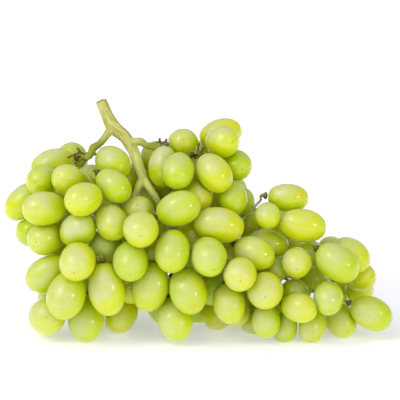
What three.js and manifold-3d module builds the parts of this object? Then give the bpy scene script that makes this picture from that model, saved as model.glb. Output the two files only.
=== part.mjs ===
// A bunch of large white table grapes, lying on its side on a flat surface.
// Units are millimetres and +Z is up. +X runs from the shoulders to the tip of the bunch,
// and a viewer stands on the -Y side.
import * as THREE from "three";
import { mergeVertices } from "three/addons/utils/BufferGeometryUtils.js";
import Module from "manifold-3d";

const wasm = await Module();
wasm.setup();
const { Manifold, Mesh } = wasm;

// Driving dimensions
const BERRY_SLENDERNESS = 1.34; // length of a ripe berry over its width
const BERRY_FACET_SCALE = 1.03; // lets flat facets keep the volume of a round berry
const PRESS = 1.3; // how deep two berries press into each other where they touch
const GAP = 0.32; // clear space kept between berries of two sprays, and round the stem
const FIRM_PRESS = 0.9; // berries of a spray that press less than this get a neck as well
const NECK_RADIUS = 2.4; // a short hidden neck from one berry to the next in a spray
const PEDICEL_RADIUS = 1.05; // the thin stalk of one berry
const LATERAL_GROWTH = 0.38; // a stalk that feeds n berries is n to this power as thick
const RECEPTACLE_RADIUS = 1.9; // the swollen end of a pedicel, which holds the berry
const SIGHT_ELEVATION = THREE.MathUtils.degToRad(15); // how far the viewer looks down
const BUNCH_CENTRE = new THREE.Vector3(-1.4, 28.9, 0); // middle of the bunch's box, on the surface
const FLAT_DEPTH = 0.7; // how far the lowest berries are pressed flat by the weight
const SETTLE = 4; // a hidden berry this close to the surface goes down to rest on it
const SINK = 1.6; // how far the seen berries are lowered, to rest on the surface too
const SMOOTHING = 0.15; // how far facets may move when slivers are cleaned up
const SEED = 20260;

// The sight frame: u runs right, v runs up and w runs away from a viewer who looks
// down on the bunch by SIGHT_ELEVATION. The berries and the stem are laid out in it.
const SIN = Math.sin(SIGHT_ELEVATION);
const COS = Math.cos(SIGHT_ELEVATION);
const fromSight = (u, v, w) => new THREE.Vector3(u, v * SIN + w * COS, v * COS - w * SIN);
const sightPoint = (u, v, w) => fromSight(u, v, w).sub(new THREE.Vector3(0, 0, SINK));
const UP = new THREE.Vector3(0, 0, 1);

// The berries that a viewer sees, spray by spray: u, v and w of the middle, half the
// length and half the width as they show, and the heading of the tip in degrees,
// counted from +u towards +v. w is where a berry would like to lie; those in front
// push it back from there. A berry that shows shorter than it is points at the viewer.
// The last rows of a spray fill the bunch behind the gaps between its front berries.
const SPRAYS = {
  wing_top: [
    [-71.5, 101.5, 10, 9.5, 9.3, 100],
    [-81.5, 97.5, 4, 13, 9.5, 200],
    [-86.5, 89, 0, 9.5, 9, 190],
    [-72, 89, -4, 10, 9, 150],
    [-66, 88, 20, 9.2, 9, 120],
    [-80, 84, 18, 9.2, 9, 190],
  ],
  wing_side: [
    [-97.3, 77.8, 2, 12.6, 8.8, 225],
    [-85, 74, -12, 12.5, 9.7, 185],
    [-94, 61.3, 4, 8.6, 8.6, 200],
    [-84.4, 57.5, -16, 10.4, 9.7, 200],
    [-74, 70, 12, 9.5, 9.2, 90],
  ],
  wing_front: [
    [-63.3, 79.3, -24, 10.7, 9.2, 200],
    [-67, 62, -18, 11, 9.5, 30],
    [-66.6, 45.2, -26, 11, 10.1, 255],
    [-52, 53.5, -8, 9.3, 9.3, 270],
  ],
  wing_foot: [
    [-83.7, 38.5, -12, 13, 9.5, 215],
    [-72.8, 27, -20, 13.8, 10.7, 250],
    [-84, 14.5, -2, 10.3, 10.3, 250],
    [-81.5, 25, 8, 8.5, 8.5, 240],
    [-62.7, 13.5, -2, 13.3, 10.2, 270],
    [-77, 49, 14, 9.5, 9.2, 200],
  ],
  neck: [
    [-48, 99, -5, 10.8, 9.3, 315],
    [-47.5, 86.5, -14, 11, 8.5, 320],
    [-60, 89.5, 5, 9.5, 9, 300],
    [-41, 91, 0, 8.5, 8.5, 300],
    [-31, 77, 14, 9.2, 9, 270],
    [-53, 76, 6, 9.2, 9, 270],
    [-43, 76, 22, 9.2, 9, 270],
  ],
  breast: [
    [-48.3, 66.5, -17, 10.6, 9.3, 300],
    [-32.2, 63, -30, 10.3, 10, 270],
    [-34, 70.5, -16, 10.5, 9.8, 90],
    [-38, 45.5, -23, 11.3, 10, 270],
    [-27, 49, -6, 9, 9, 270],
    [-42, 57, 14, 9.2, 9, 120],
    [-56, 43, 12, 9.2, 9, 270],
  ],
  belly_left: [
    [-51, 30, -22, 15, 10.2, 278],
    [-43.5, 15.5, 4, 11, 9, 240],
    [-38, 30, -4, 9, 9, 270],
    [-27, 31.3, -18, 14.2, 10, 255],
  ],
  shoulder: [
    [-24.5, 102.5, 8, 9.3, 9.3, 120],
    [-20, 97, -3, 12, 8.5, 265],
    [-9.5, 109, 4, 9.2, 9, 80],
    [-11.9, 94.6, -13, 10.5, 9.1, 262],
    [-18, 84, 14, 9.2, 9, 60],
    [-33, 88.5, 19, 9.2, 9, 90],
  ],
  shoulder_tip: [
    [12.2, 110.5, 2, 9.8, 9, 0],
    [11, 115, 10, 12.5, 8.8, 17],
    [7.6, 93.5, -10, 12, 9.3, 307],
    [20, 98, 3, 9, 8.5, 320],
    [1, 103, 16, 9.2, 9, 60],
    [-2, 92, 10, 9.2, 9, 60],
  ],
  back_fold: [
    [18.5, 83.5, 6, 8.5, 8.5, 20],
    [18, 80, -8, 10, 8, 280],
    [9, 79, 1, 9, 8.5, 280],
    [22, 78, -6, 8.5, 8.3, 340],
  ],
  middle: [
    [-1.5, 80.5, -5, 9, 8.8, 280],
    [-11.8, 73.7, -20, 12.8, 9.6, 20],
    [-15, 51, -25, 12, 9.8, 265],
    [4.8, 48, -26, 11.2, 9.9, 290],
    [-4, 60, -6, 9, 9, 280],
    [10, 65, -16, 14.3, 9.9, 350],
    [-23, 60, 16, 9.2, 9, 270],
    [-5, 43, 12, 9.2, 9, 270],
  ],
  belly_right: [
    [-6.6, 29.3, -19, 13.2, 10.2, 285],
    [-14, 13.5, -9, 12.5, 9.8, 287],
    [7.5, 29, -1, 9, 9, 280],
    [9.5, 15.5, 5, 9, 8.5, 270],
    [15.9, 22.4, -14, 11.3, 8.9, 280],
    [19.5, 17, -4, 8.3, 8.2, 270],
    [27, 25, 6, 9, 8.8, 270],
  ],
  waist: [
    [21.8, 38.3, -28, 9.6, 9.3, 270],
    [29.4, 49.5, -16, 12, 9.3, 335],
    [35.5, 29.5, -22, 10.5, 10.2, 270],
    [41, 40.5, -6, 7.2, 7, 300],
    [31, 39, 10, 9, 8.8, 300],
    [16, 51, 6, 9, 8.8, 300],
  ],
  flank: [
    [37.3, 70.3, -10, 7.6, 7.1, 280],
    [26, 66, 3, 9.5, 8.5, 300],
    [37, 54.3, -5, 12, 8.6, 350],
    [48.3, 80, -1, 11.7, 8, 355],
    [56, 65, -8, 13.4, 9.2, 350],
    [53, 49, 8, 9, 8.8, 350],
    [62, 36, 8, 9, 8.6, 300],
  ],
  flank_foot: [
    [30, 11.2, 3, 8.3, 8.3, 270],
    [36.2, 13, -9, 10.2, 7.9, 272],
    [47, 8.8, -4, 9.6, 6.8, 260],
    [54, 19.8, -16, 10.2, 8.5, 345],
    [52, 27, -7, 8.6, 8.6, 300],
    [61.5, 9.5, -3, 9.7, 7.6, 262],
    [70.2, 25.2, -15, 9.6, 8.5, 270],
    [43, 20, 6, 9, 8.8, 280],
  ],
  tail_top: [
    [53, 44.5, -12, 8.8, 8.4, 270],
    [61, 48.5, 0, 8, 8, 300],
    [75, 44.3, -14, 13.2, 10, 325],
    [83, 48.5, -2, 11.5, 9, 320],
    [72.5, 51, 4, 8, 8, 30],
    [88.5, 36, 0, 9, 8, 5],
  ],
  tail: [
    [88.5, 28.5, 6, 8.5, 8.5, 0],
    [94, 16.5, -1, 12.5, 9.2, 335],
    [77.5, 12.5, 0, 10, 8.8, 300],
    [78, 30, 10, 9, 8.6, 320],
  ],
};

// Where the bunch swells behind what is seen: x, y and z of its middle, and how far
// from there its outermost berries have their own middles, sideways and upwards.
const BODY = [
  [-84, 26, 50, 22, 26],
  [-58, 32, 51, 32, 36],
  [-10, 33, 50, 34, 36],
  [30, 29, 38, 29, 26],
  [65, 26, 30, 22, 18],
  [92, 22, 25, 12, 9],
];
const HIDDEN_BERRIES = 26; // on the far side and underneath
const HIDDEN_FROM = 15; // degrees from straight up, over the far side, where they start
const HIDDEN_TO = 215; // and end, underneath
const HIDDEN_TRIES = 200; // places looked at for each of them
const INNER_BERRIES = 2; // deep in the bunch, hidden by all others
const INNER_REACH = 0.4; // how far out towards the outer berries these lie

// The bare stem, limb by limb: u, v, w and radius. It is one grown piece.
const LIMBS = {
  peduncle: [[-54.8, 133.2, 14, 3.1], [-51.7, 126, 12, 3.2], [-48.3, 119.5, 10, 3.9],
    [-41.5, 113.5, 8, 3.3], [-37, 106, 6, 3], [-34.3, 98, 4, 2.8], [-31.5, 90.5, 3, 2.5]],
  fork_left: [[-31.5, 90.5, 3, 2.4], [-34.5, 84, 3, 1.8], [-35, 79, 6, 1.5]],
  fork_right: [[-31.5, 90.5, 3, 2.4], [-27, 84, 2, 2], [-24, 79.5, 3, 1.7], [-22, 73, 8, 1.5]],
  left_arm: [[-48.6, 119, 10, 2.6], [-52.3, 113.5, 9, 2], [-55.5, 109.5, 8, 1.7],
    [-59, 107.2, 6, 2.2], [-60.3, 104.2, 5, 1.6], [-61.4, 102.2, 4, 1.9]],
  left_twig: [[-60.3, 104.2, 5, 1], [-64.5, 104.2, 4, 0.9], [-66, 105.6, 4, 0.8],
    [-67.8, 107.3, 4, 1.2]],
  left_twig_out: [[-64.5, 104.2, 4, 0.9], [-68.2, 104.2, 3, 0.8], [-71, 102.9, 3, 0.8],
    [-72.9, 101.8, 3, 1.2]],
  left_twig_down: [[-61.4, 102.2, 4, 1.2], [-65.5, 100.7, 3, 0.8], [-67.7, 99.8, 3, 0.8],
    [-69.3, 98.7, 3, 1.2]],
  left_twig_low: [[-61.4, 102.2, 4, 1.2], [-64.2, 98.8, 1, 0.8], [-65.4, 96.8, 0, 1.2]],
  left_twig_back: [[-60.3, 104.2, 5, 1], [-57.4, 103.7, 5, 0.8], [-55.4, 104.6, 5, 1.2]],
  right_arm: [[-38.5, 109.3, 7, 2], [-35.5, 110.8, 6, 2.2], [-32.5, 110.8, 5, 2.2],
    [-30, 109, 4, 1.7], [-25.5, 107.6, 4, 1.5], [-22.5, 107.6, 5, 1.5]],
  right_twig: [[-22.5, 107.6, 5, 1], [-21.5, 109.5, 4, 0.8], [-19.5, 110.5, 3, 0.8],
    [-18.2, 112.3, 3, 1.2]],
  right_twig_up: [[-21.5, 109.5, 4, 0.8], [-22.6, 111, 4, 0.8], [-22, 112.8, 4, 1.2]],
  knot_twig_left: [[-2.5, 103, 0, 1.3], [-4.6, 104.6, -1, 0.8], [-5.6, 102.6, -2, 1.2]],
  knot_twig_up: [[-2.5, 103, 0, 1.3], [-1.2, 106.5, 0, 0.8], [-0.6, 110, 0, 1.2]],
  knot_twig_right: [[-2.5, 103, 0, 1.3], [0.6, 105, -1, 0.8], [2.4, 107.6, -1, 1.2]],
};
const STEM_SIDES = 7;
const TWIG_SIDES = 5;
const STALK_SIDES = 3;
const NECK_SIDES = 4;

// A seeded random number, 0 to 1
function randomFrom(seed) {
  let state = seed;
  return () => {
    state = (state + 0x6d2b79f5) | 0;
    let mix = Math.imul(state ^ (state >>> 15), 1 | state);
    mix = (mix + Math.imul(mix ^ (mix >>> 7), 61 | mix)) ^ mix;
    return ((mix ^ (mix >>> 14)) >>> 0) / 4294967296;
  };
}
const random = randomFrom(SEED);
const between = (low, high) => low + (high - low) * random();

// A berry is a long ellipsoid: its middle, the way its tip points, and its half sizes.
function berryAt(centre, axis, halfLength, halfWidth, spray) {
  return { centre, axis: axis.normalize(), halfLength, halfWidth, spray };
}

// A berry as the table gives it. How short it shows says how far its tip is turned
// out of the picture, towards the viewer.
function seenBerry([u, v, w, shownHalfLength, halfWidth, heading], spray) {
  const halfLength = Math.max(shownHalfLength, halfWidth * BERRY_SLENDERNESS);
  const lost = halfLength ** 2 - shownHalfLength ** 2;
  const turn = Math.asin(Math.sqrt(lost / (halfLength ** 2 - halfWidth ** 2)));
  const angle = THREE.MathUtils.degToRad(heading);
  const axis = fromSight(
    Math.cos(turn) * Math.cos(angle), Math.cos(turn) * Math.sin(angle), -Math.sin(turn));
  return berryAt(sightPoint(u, v, w), axis, halfLength, halfWidth, spray);
}

// How far a berry reaches from its middle in a direction
function reach(berry, direction) {
  const stretch = berry.halfLength ** 2 - berry.halfWidth ** 2;
  return Math.sqrt(berry.halfWidth ** 2 + stretch * direction.dot(berry.axis) ** 2);
}

// The point of a berry's skin that lies furthest out in a direction, from its middle
function skinPoint(berry, direction) {
  const stretch = berry.halfLength ** 2 - berry.halfWidth ** 2;
  return direction.clone().multiplyScalar(berry.halfWidth ** 2)
    .addScaledVector(berry.axis, stretch * direction.dot(berry.axis))
    .divideScalar(reach(berry, direction));
}

// The plane that parts two berries best, and the gap it leaves, which is negative
// where they press into each other. It starts square to the line between their
// middles and is turned a few times to where the gap is widest.
function contact(first, second) {
  const offset = second.centre.clone().sub(first.centre);
  const normal = offset.clone().normalize();
  for (let step = 0; step < 5; step++) {
    const pull = offset.clone().sub(skinPoint(first, normal)).sub(skinPoint(second, normal));
    pull.addScaledVector(normal, -pull.dot(normal));
    normal.addScaledVector(pull, 1 / 30).normalize();
  }
  const gap = normal.dot(offset) - reach(first, normal) - reach(second, normal);
  const level = normal.dot(first.centre) + reach(first, normal) + gap / 2;
  return { normal, gap, level };
}

const touches = (first, second) =>
  first.centre.distanceTo(second.centre) < first.halfLength + second.halfLength + 2;

// Smallest gap from a berry to those already placed, and which of them it is
function closest(berry, others) {
  let best = { gap: Infinity, other: null };
  for (const other of others) {
    if (!touches(berry, other)) continue;
    const { gap } = contact(berry, other);
    if (gap < best.gap) best = { gap, other };
  }
  return best;
}

// The berries that are seen go in from the front to the back. Each slides away along
// the line of sight until it no more than presses on those before it.
function placeSeenBerries() {
  const away = fromSight(0, 0, 0.25);
  const waiting = Object.entries(SPRAYS).flatMap(([spray, rows]) =>
    rows.map((row) => ({ depth: row[2], berry: seenBerry(row, spray) })));
  waiting.sort((one, two) => one.depth - two.depth);
  const placed = [];
  for (const { berry } of waiting) {
    while (closest(berry, placed).gap < -PRESS) berry.centre.add(away);
    placed.push(berry);
  }
  return placed;
}

// The middle of the body and its reach at a place along it
function bodyAt(x) {
  const last = BODY.findIndex((station) => station[0] >= x);
  const [from, to] = [BODY[last - 1], BODY[last]];
  const share = (x - from[0]) / (to[0] - from[0]);
  return from.map((value, column) => value + (to[column] - value) * share);
}

// A random berry on the far side of the body, its tip outwards and a little ahead
function hiddenBerry(scale) {
  const x = between(BODY[0][0] + 0.1, BODY.at(-1)[0]);
  const angle = THREE.MathUtils.degToRad(between(HIDDEN_FROM, HIDDEN_TO));
  const halfWidth = between(8.8, 10);
  const [, y, z, sideways, upwards] = bodyAt(x);
  const centre = new THREE.Vector3(
    x, y + scale * sideways * Math.sin(angle), z + scale * upwards * Math.cos(angle));
  const axis = new THREE.Vector3(
    between(-0.2, 0.8), Math.sin(angle) + between(-0.3, 0.3), Math.cos(angle) - 0.3);
  const berry = berryAt(centre, axis, halfWidth * BERRY_SLENDERNESS, halfWidth, "");
  const resting = reach(berry, UP) - FLAT_DEPTH;
  if (berry.centre.z < resting + SETTLE) berry.centre.z = resting;
  return berry;
}

// The hidden berries follow one by one. Of many random places each takes the one
// where it lies closest against those already there, and it joins that berry's spray.
function placeHiddenBerries(placed, stemBalls) {
  const fill = (count, scale) => {
    for (let index = 0; index < count; index++) {
      let best = null;
      for (let attempt = 0; attempt < HIDDEN_TRIES; attempt++) {
        const berry = hiddenBerry(scale);
        const { gap, other } = closest(berry, placed);
        if (gap < -PRESS || closest(berry, stemBalls).gap < GAP) continue;
        if (!best || gap < best.gap) best = { gap, other, berry };
      }
      if (!best || !best.other) continue;
      best.berry.spray = best.other.spray;
      placed.push(best.berry);
    }
  };
  fill(HIDDEN_BERRIES, 1);
  fill(INNER_BERRIES, INNER_REACH);
}

// Each spray is joined into one body along the shortest chain of contacts.
function joinSpray(berries) {
  const joined = [berries[0]];
  const bonds = [];
  while (joined.length < berries.length) {
    let best = null;
    for (const berry of berries) {
      if (joined.includes(berry)) continue;
      for (const other of joined) {
        const { gap, normal, level } = contact(berry, other);
        if (!best || gap < best.gap) best = { gap, normal, level, first: berry, second: other };
      }
    }
    joined.push(best.first);
    bonds.push(best);
  }
  return bonds;
}

// The planes that a berry may not cross: one halfway to each neighbour that it isn't
// joined to, with a gap between the two, and the surface that the bunch lies on.
function limitsOf(berry, all, bonds) {
  const limits = [{ normal: UP.clone().negate(), level: 0 }];
  for (const other of all) {
    if (other === berry || !touches(berry, other)) continue;
    const bonded = bonds.some(({ first, second }) =>
      (first === berry && second === other) || (first === other && second === berry));
    if (bonded) continue;
    const { gap, normal, level } = contact(berry, other);
    if (gap < 3) limits.push({ normal, level: level - GAP / 2 });
  }
  return limits;
}

// A faceted berry, with the facets that would cross a limit pressed flat against it
function berrySolid(berry, limits) {
  const shape = new THREE.IcosahedronGeometry(BERRY_FACET_SCALE, 1);
  shape.deleteAttribute("normal");
  shape.deleteAttribute("uv");
  const skin = mergeVertices(shape, 1e-4);
  const turn = new THREE.Quaternion().setFromUnitVectors(
    new THREE.Vector3(0, 0, 1), berry.axis);
  skin.scale(berry.halfWidth, berry.halfWidth, berry.halfLength);
  skin.applyQuaternion(turn);
  skin.translate(...berry.centre);
  const corners = skin.getAttribute("position");
  const corner = new THREE.Vector3();
  for (let index = 0; index < corners.count; index++) {
    corner.fromBufferAttribute(corners, index);
    for (let pass = 0; pass < 12; pass++) {
      for (const { normal, level } of limits) {
        const over = normal.dot(corner) - level;
        if (over > 0) corner.addScaledVector(normal, -over);
      }
    }
    corners.setXYZ(index, ...corner);
  }
  return solidFrom(skin);
}

function solidFrom(geometry) {
  return Manifold.ofMesh(new Mesh({
    numProp: 3,
    vertProperties: new Float32Array(geometry.getAttribute("position").array),
    triVerts: new Uint32Array(geometry.getIndex().array),
  }));
}

// The round flat spot on which a low berry rests
function restingSpot(berry) {
  const down = UP.clone().negate();
  const depth = reach(berry, down) - berry.centre.z;
  const lowest = berry.centre.clone().add(skinPoint(berry, down)).setZ(0);
  const radius = 0.85 * Math.sqrt(2 * berry.halfWidth * depth);
  return tube([lowest, lowest.clone().setZ(2)], [radius, radius], STEM_SIDES);
}

// A closed tube through points, each with its own radius
function tube(points, radii, sides) {
  const corners = [];
  const faces = [];
  let side = new THREE.Vector3(0.3, 0.9, 0.31);
  points.forEach((point, ring) => {
    const before = points[Math.max(ring - 1, 0)];
    const after = points[Math.min(ring + 1, points.length - 1)];
    const along = after.clone().sub(before).normalize();
    side = side.clone().addScaledVector(along, -side.dot(along)).normalize();
    const across = along.clone().cross(side);
    for (let index = 0; index < sides; index++) {
      const angle = (index / sides) * 2 * Math.PI;
      const corner = point.clone()
        .addScaledVector(side, radii[ring] * Math.cos(angle))
        .addScaledVector(across, radii[ring] * Math.sin(angle));
      corners.push(...corner);
      const next = (index + 1) % sides;
      if (ring === 0) {
        if (index > 0 && index < sides - 1) faces.push(0, index + 1, index);
        continue;
      }
      const [low, high] = [(ring - 1) * sides, ring * sides];
      faces.push(low + index, low + next, high + next, low + index, high + next, high + index);
    }
  });
  const top = (points.length - 1) * sides;
  for (let index = 1; index < sides - 1; index++) faces.push(top, top + index, top + index + 1);
  const geometry = new THREE.BufferGeometry();
  geometry.setAttribute("position", new THREE.Float32BufferAttribute(corners, 3));
  geometry.setIndex(faces);
  return solidFrom(geometry);
}

// The free space between berries, as cubes of CELL on a side, in which stalks grow
const CELL = 2.5;
const NEARBY = 32; // berries this close count when a place is judged to be inside the bunch
const ONE_SIDED = 0.5; // a place with its berries more to one side than this is outside it
const EDGE_RADIUS = 0.6; // the thinnest that a stalk is drawn
const IN_SIGHT = 6; // a way that no berry hides counts as this many times longer

// How far a point is clear of all skin and of the necks inside a spray
function clearance(point, all, necks) {
  let least = point.z;
  for (const berry of all) {
    const offset = point.clone().sub(berry.centre);
    const distance = offset.length();
    if (distance > berry.halfLength + 12) continue;
    const direction = offset.divideScalar(distance);
    const stretch = 1 / berry.halfWidth ** 2 - 1 / berry.halfLength ** 2;
    const along = direction.dot(berry.axis);
    const skin = BERRY_FACET_SCALE / Math.sqrt(1 / berry.halfWidth ** 2 - stretch * along ** 2);
    least = Math.min(least, (distance - skin) * 0.93);
  }
  for (const { neck } of necks) {
    const nearest = neck.closestPointToPoint(point, true, new THREE.Vector3());
    least = Math.min(least, nearest.distanceTo(point) - NECK_RADIUS);
  }
  return least;
}

// Moves a point down the slope of nearness until it is as clear as asked, or as it can be
function pushClear(point, wanted, clear) {
  const probe = 0.4;
  for (let step = 0; step < 25 && clear(point) < wanted; step++) {
    const here = clear(point);
    const slope = new THREE.Vector3(...["x", "y", "z"].map((axis) => {
      const moved = point.clone();
      moved[axis] += probe;
      return clear(moved) - here;
    }));
    if (slope.length() < 1e-6) break;
    point.addScaledVector(slope.normalize(), 0.3);
  }
  return point;
}

// The least clearance along a straight line
function clearAlong(start, end, clear) {
  const steps = Math.ceil(start.distanceTo(end) / 1.5) + 1;
  let least = Infinity;
  for (let step = 0; step <= steps; step++) {
    least = Math.min(least, clear(start.clone().lerp(end, step / steps)));
  }
  return least;
}

// Stalks keep inside the bunch, where berries lie on all sides of them.
function surrounded(point, all) {
  const pull = new THREE.Vector3();
  let weight = 0;
  for (const { centre } of all) {
    const offset = centre.clone().sub(point);
    const near = 1 - offset.length() / NEARBY;
    if (near <= 0) continue;
    pull.addScaledVector(offset.normalize(), near);
    weight += near;
  }
  return weight > 0 && pull.length() < ONE_SIDED * weight;
}

// Whether a berry stands between a place and the viewer
function hidden(point, all) {
  const towards = fromSight(0, 0, -1);
  return all.some(({ centre, halfWidth }) => {
    const offset = centre.clone().sub(point);
    const nearer = offset.dot(towards);
    return nearer > 0 && offset.lengthSq() - nearer ** 2 < halfWidth ** 2;
  });
}

// The few points of a route between which a stalk can run straight without touching
function straighten(points, clear) {
  const kept = [0];
  const last = points.length - 1;
  while (kept.at(-1) < last) {
    const from = kept.at(-1);
    let to = last;
    while (to > from + 1 && clearAlong(points[from], points[to], clear) < PEDICEL_RADIUS + GAP) to--;
    kept.push(to);
  }
  return kept;
}

// Grows stalks from the limbs through the free space, the widest ways first, to every
// end that is asked for, and gives each stalk as its points and radii.
function growStalks(ends, seeds, clear, bounds, all) {
  const size = bounds.getSize(new THREE.Vector3()).divideScalar(CELL).ceil();
  const key = (x, y, z) => (z * size.y + y) * size.x + x;
  const cellOf = (point) => {
    const at = point.clone().sub(bounds.min).divideScalar(CELL).floor();
    return key(at.x, at.y, at.z);
  };
  const middleOf = (cell) => {
    const x = cell % size.x;
    const y = Math.floor(cell / size.x) % size.y;
    const z = Math.floor(cell / (size.x * size.y));
    return new THREE.Vector3(x + 0.5, y + 0.5, z + 0.5).multiplyScalar(CELL).add(bounds.min);
  };
  const inner = bounds.clone().expandByScalar(-CELL);
  const room = new Map();
  const roomAt = (cell) => {
    if (!room.has(cell)) {
      const middle = middleOf(cell);
      const inside = inner.containsPoint(middle) && surrounded(middle, all);
      room.set(cell, inside ? clear(middle) : 0);
    }
    return room.get(cell);
  };
  const detours = new Map();
  const detourAt = (cell) => {
    if (!detours.has(cell)) detours.set(cell, hidden(middleOf(cell), all) ? 1 : IN_SIGHT);
    return detours.get(cell);
  };
  const steps = [];
  for (const dx of [-1, 0, 1]) {
    for (const dy of [-1, 0, 1]) {
      for (const dz of [-1, 0, 1]) {
        if (dx || dy || dz) steps.push([key(dx, dy, dz), Math.hypot(dx, dy, dz)]);
      }
    }
  }

  const cost = new Map();
  const from = new Map();
  const fixed = new Map();
  let wave = [];
  for (const seed of seeds) {
    const cell = cellOf(seed);
    cost.set(cell, 0);
    fixed.set(cell, seed);
    wave.push(cell);
  }
  while (wave.length) {
    const next = new Set();
    for (const cell of wave) {
      for (const [step, length] of steps) {
        const neighbour = cell + step;
        const space = roomAt(neighbour);
        if (space < PEDICEL_RADIUS + GAP) continue;
        const total = cost.get(cell) + length * (1 + 8 / space ** 2) * detourAt(neighbour);
        if (total < (cost.get(neighbour) ?? Infinity) - 1e-6) {
          cost.set(neighbour, total);
          from.set(neighbour, cell);
          next.add(neighbour);
        }
      }
    }
    wave = [...next];
  }

  const routes = [];
  for (const end of ends) {
    const start = end.stub.at(-1);
    let best = null;
    for (const [step] of [[0, 0], ...steps]) {
      const cell = cellOf(start) + step;
      if (!cost.has(cell)) continue;
      const total = cost.get(cell) + middleOf(cell).distanceTo(start) / CELL;
      if (!best || total < best.total) best = { cell, total };
    }
    if (best) routes.push({ end, ...best });
  }
  const fed = new Map();
  for (const { cell } of routes) {
    for (let at = cell; at !== undefined; at = from.get(at)) fed.set(at, (fed.get(at) ?? 0) + 1);
  }

  routes.sort((one, two) => two.total - one.total);
  const stalks = [];
  for (const { end, cell } of routes) {
    const cells = [cell];
    while (!fixed.has(cells.at(-1))) cells.push(from.get(cells.at(-1)));
    const points = cells.map((at) => fixed.get(at) ?? middleOf(at));
    for (let pass = 0; pass < 4; pass++) {
      for (let index = 1; index < points.length - 1; index++) {
        const middle = points[index - 1].clone().add(points[index + 1]).multiplyScalar(0.5);
        points[index] = points[index].clone().lerp(middle, 0.5);
        const wanted = Math.max(2, PEDICEL_RADIUS * fed.get(cells[index]) ** LATERAL_GROWTH) + GAP;
        if (clear(points[index]) < wanted) pushClear(points[index], wanted, clear);
      }
    }
    const kept = straighten(points, clear);
    for (let leg = 1; leg < kept.length; leg++) {
      const [near, far] = [kept[leg - 1], kept[leg]];
      for (let index = near; index <= far; index++) {
        const share = (index - near) / (far - near);
        fixed.set(cells[index], points[near].clone().lerp(points[far], share));
      }
    }
    const line = kept.map((index) => points[index]);
    const radii = kept.map((index, leg) => {
      const grown = PEDICEL_RADIUS * (fed.get(cells[index]) ?? 1) ** LATERAL_GROWTH;
      const nearby = [line[leg - 1] ?? line[leg], line[leg + 1] ?? line[leg]];
      const space = Math.min(...nearby.map((other) => clearAlong(line[leg], other, clear)));
      return Math.max(Math.min(grown, space - GAP), EDGE_RADIUS);
    });
    stalks.push({ points: [...end.stub, ...line], radii: [...end.radii, ...radii] });
  }
  return stalks;
}

// The end of a pedicel at its berry: the swollen receptacle, then the thin stalk
function stalkEnd(base, outwards) {
  const along = (distance) => base.clone().addScaledVector(outwards, distance);
  return {
    stub: [along(GAP), along(GAP + 2.6)],
    radii: [RECEPTACLE_RADIUS, PEDICEL_RADIUS],
  };
}

// Puts the whole together.
const stemPoint = ([u, v, w]) => sightPoint(u, v, w);
const stemBalls = Object.values(LIMBS).flat().map((knot) =>
  berryAt(stemPoint(knot), UP.clone(), knot[3], knot[3], "stem"));
const berries = placeSeenBerries();
placeHiddenBerries(berries, stemBalls);

const sprayNames = Object.keys(SPRAYS);
const bonds = sprayNames.flatMap((name) => joinSpray(berries.filter(({ spray }) => spray === name)));
const necks = bonds.filter(({ gap }) => gap > -FIRM_PRESS);
for (const bond of necks) {
  const { first, second } = bond;
  const inside = 0.2;
  const start = first.centre.clone().lerp(second.centre, inside);
  bond.neck = new THREE.Line3(start, second.centre.clone().lerp(first.centre, inside));
}
const clear = (point) => clearance(point, berries, necks);

const group = new THREE.Group();
group.name = "bunch_of_grapes";
const BERRY_COLOURS = ["#c3cf2a", "#bccb24", "#cbd536", "#b5c51f", "#c8cc30"];

sprayNames.forEach((name, index) => {
  const members = berries.filter(({ spray }) => spray === name);
  const solids = members.map((berry) => berrySolid(berry, limitsOf(berry, berries, bonds)));
  const low = members.filter((berry) => reach(berry, UP) - berry.centre.z > FLAT_DEPTH / 2);
  solids.push(...low.map(restingSpot));
  for (const { first, neck } of necks) {
    if (first.spray !== name) continue;
    solids.push(tube([neck.start, neck.end], [NECK_RADIUS, NECK_RADIUS], NECK_SIDES));
  }
  addMesh(`berries_${name}`, Manifold.union(solids), {
    color: BERRY_COLOURS[index % BERRY_COLOURS.length], roughness: 0.38,
  });
});

const limbSolids = Object.values(LIMBS).map((knots) => {
  const sides = knots[0][3] > 2.5 ? STEM_SIDES : TWIG_SIDES;
  const points = knots.map((knot) => pushClear(stemPoint(knot), knot[3] + GAP + 0.15, clear));
  return tube(points, knots.map((knot) => knot[3]), sides);
});
const ends = berries.map((berry) => {
  const outwards = berry.axis.clone().negate();
  const reachOut = berry.halfLength * BERRY_FACET_SCALE;
  const base = berry.centre.clone().addScaledVector(outwards, reachOut);
  return { berry, ...stalkEnd(base, outwards) };
});
// The knot of twigs between the right shoulder's berries hangs on a stalk of its own.
const twigKnot = stemPoint(LIMBS.knot_twig_up[0]);
const deeper = twigKnot.clone().add(fromSight(0, -1, 2));
ends.push({ stub: [twigKnot, deeper], radii: [LIMBS.knot_twig_up[0][3], PEDICEL_RADIUS] });
const openEnds = ends.filter(({ berry, stub, radii }) => {
  const others = berries.filter((other) => other !== berry);
  return stub.every((point, index) => clearance(point, others, necks) > radii[index] + 0.1);
});
const seeds = ["fork_left", "fork_right", "left_arm", "right_arm"].flatMap((limb) =>
  LIMBS[limb].slice(-2).map((knot) => pushClear(stemPoint(knot), knot[3] + GAP + 0.15, clear)));
const bounds = new THREE.Box3().setFromPoints(berries.map(({ centre }) => centre));
bounds.expandByScalar(18);
const stalks = growStalks(openEnds, seeds, clear, bounds, berries);
const stalkSolids = stalks.map(({ points, radii }) => tube(points, radii, STALK_SIDES));
addMesh("stem", Manifold.union([...limbSolids, ...stalkSolids]), {
  color: "#a9ac3c", roughness: 0.6,
});

// The largest body of a solid, with any pocket that is sealed inside it filled
function mainBody(solid) {
  return solid.decompose().reduce((best, body) => (body.volume() > best.volume() ? body : best));
}

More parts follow.
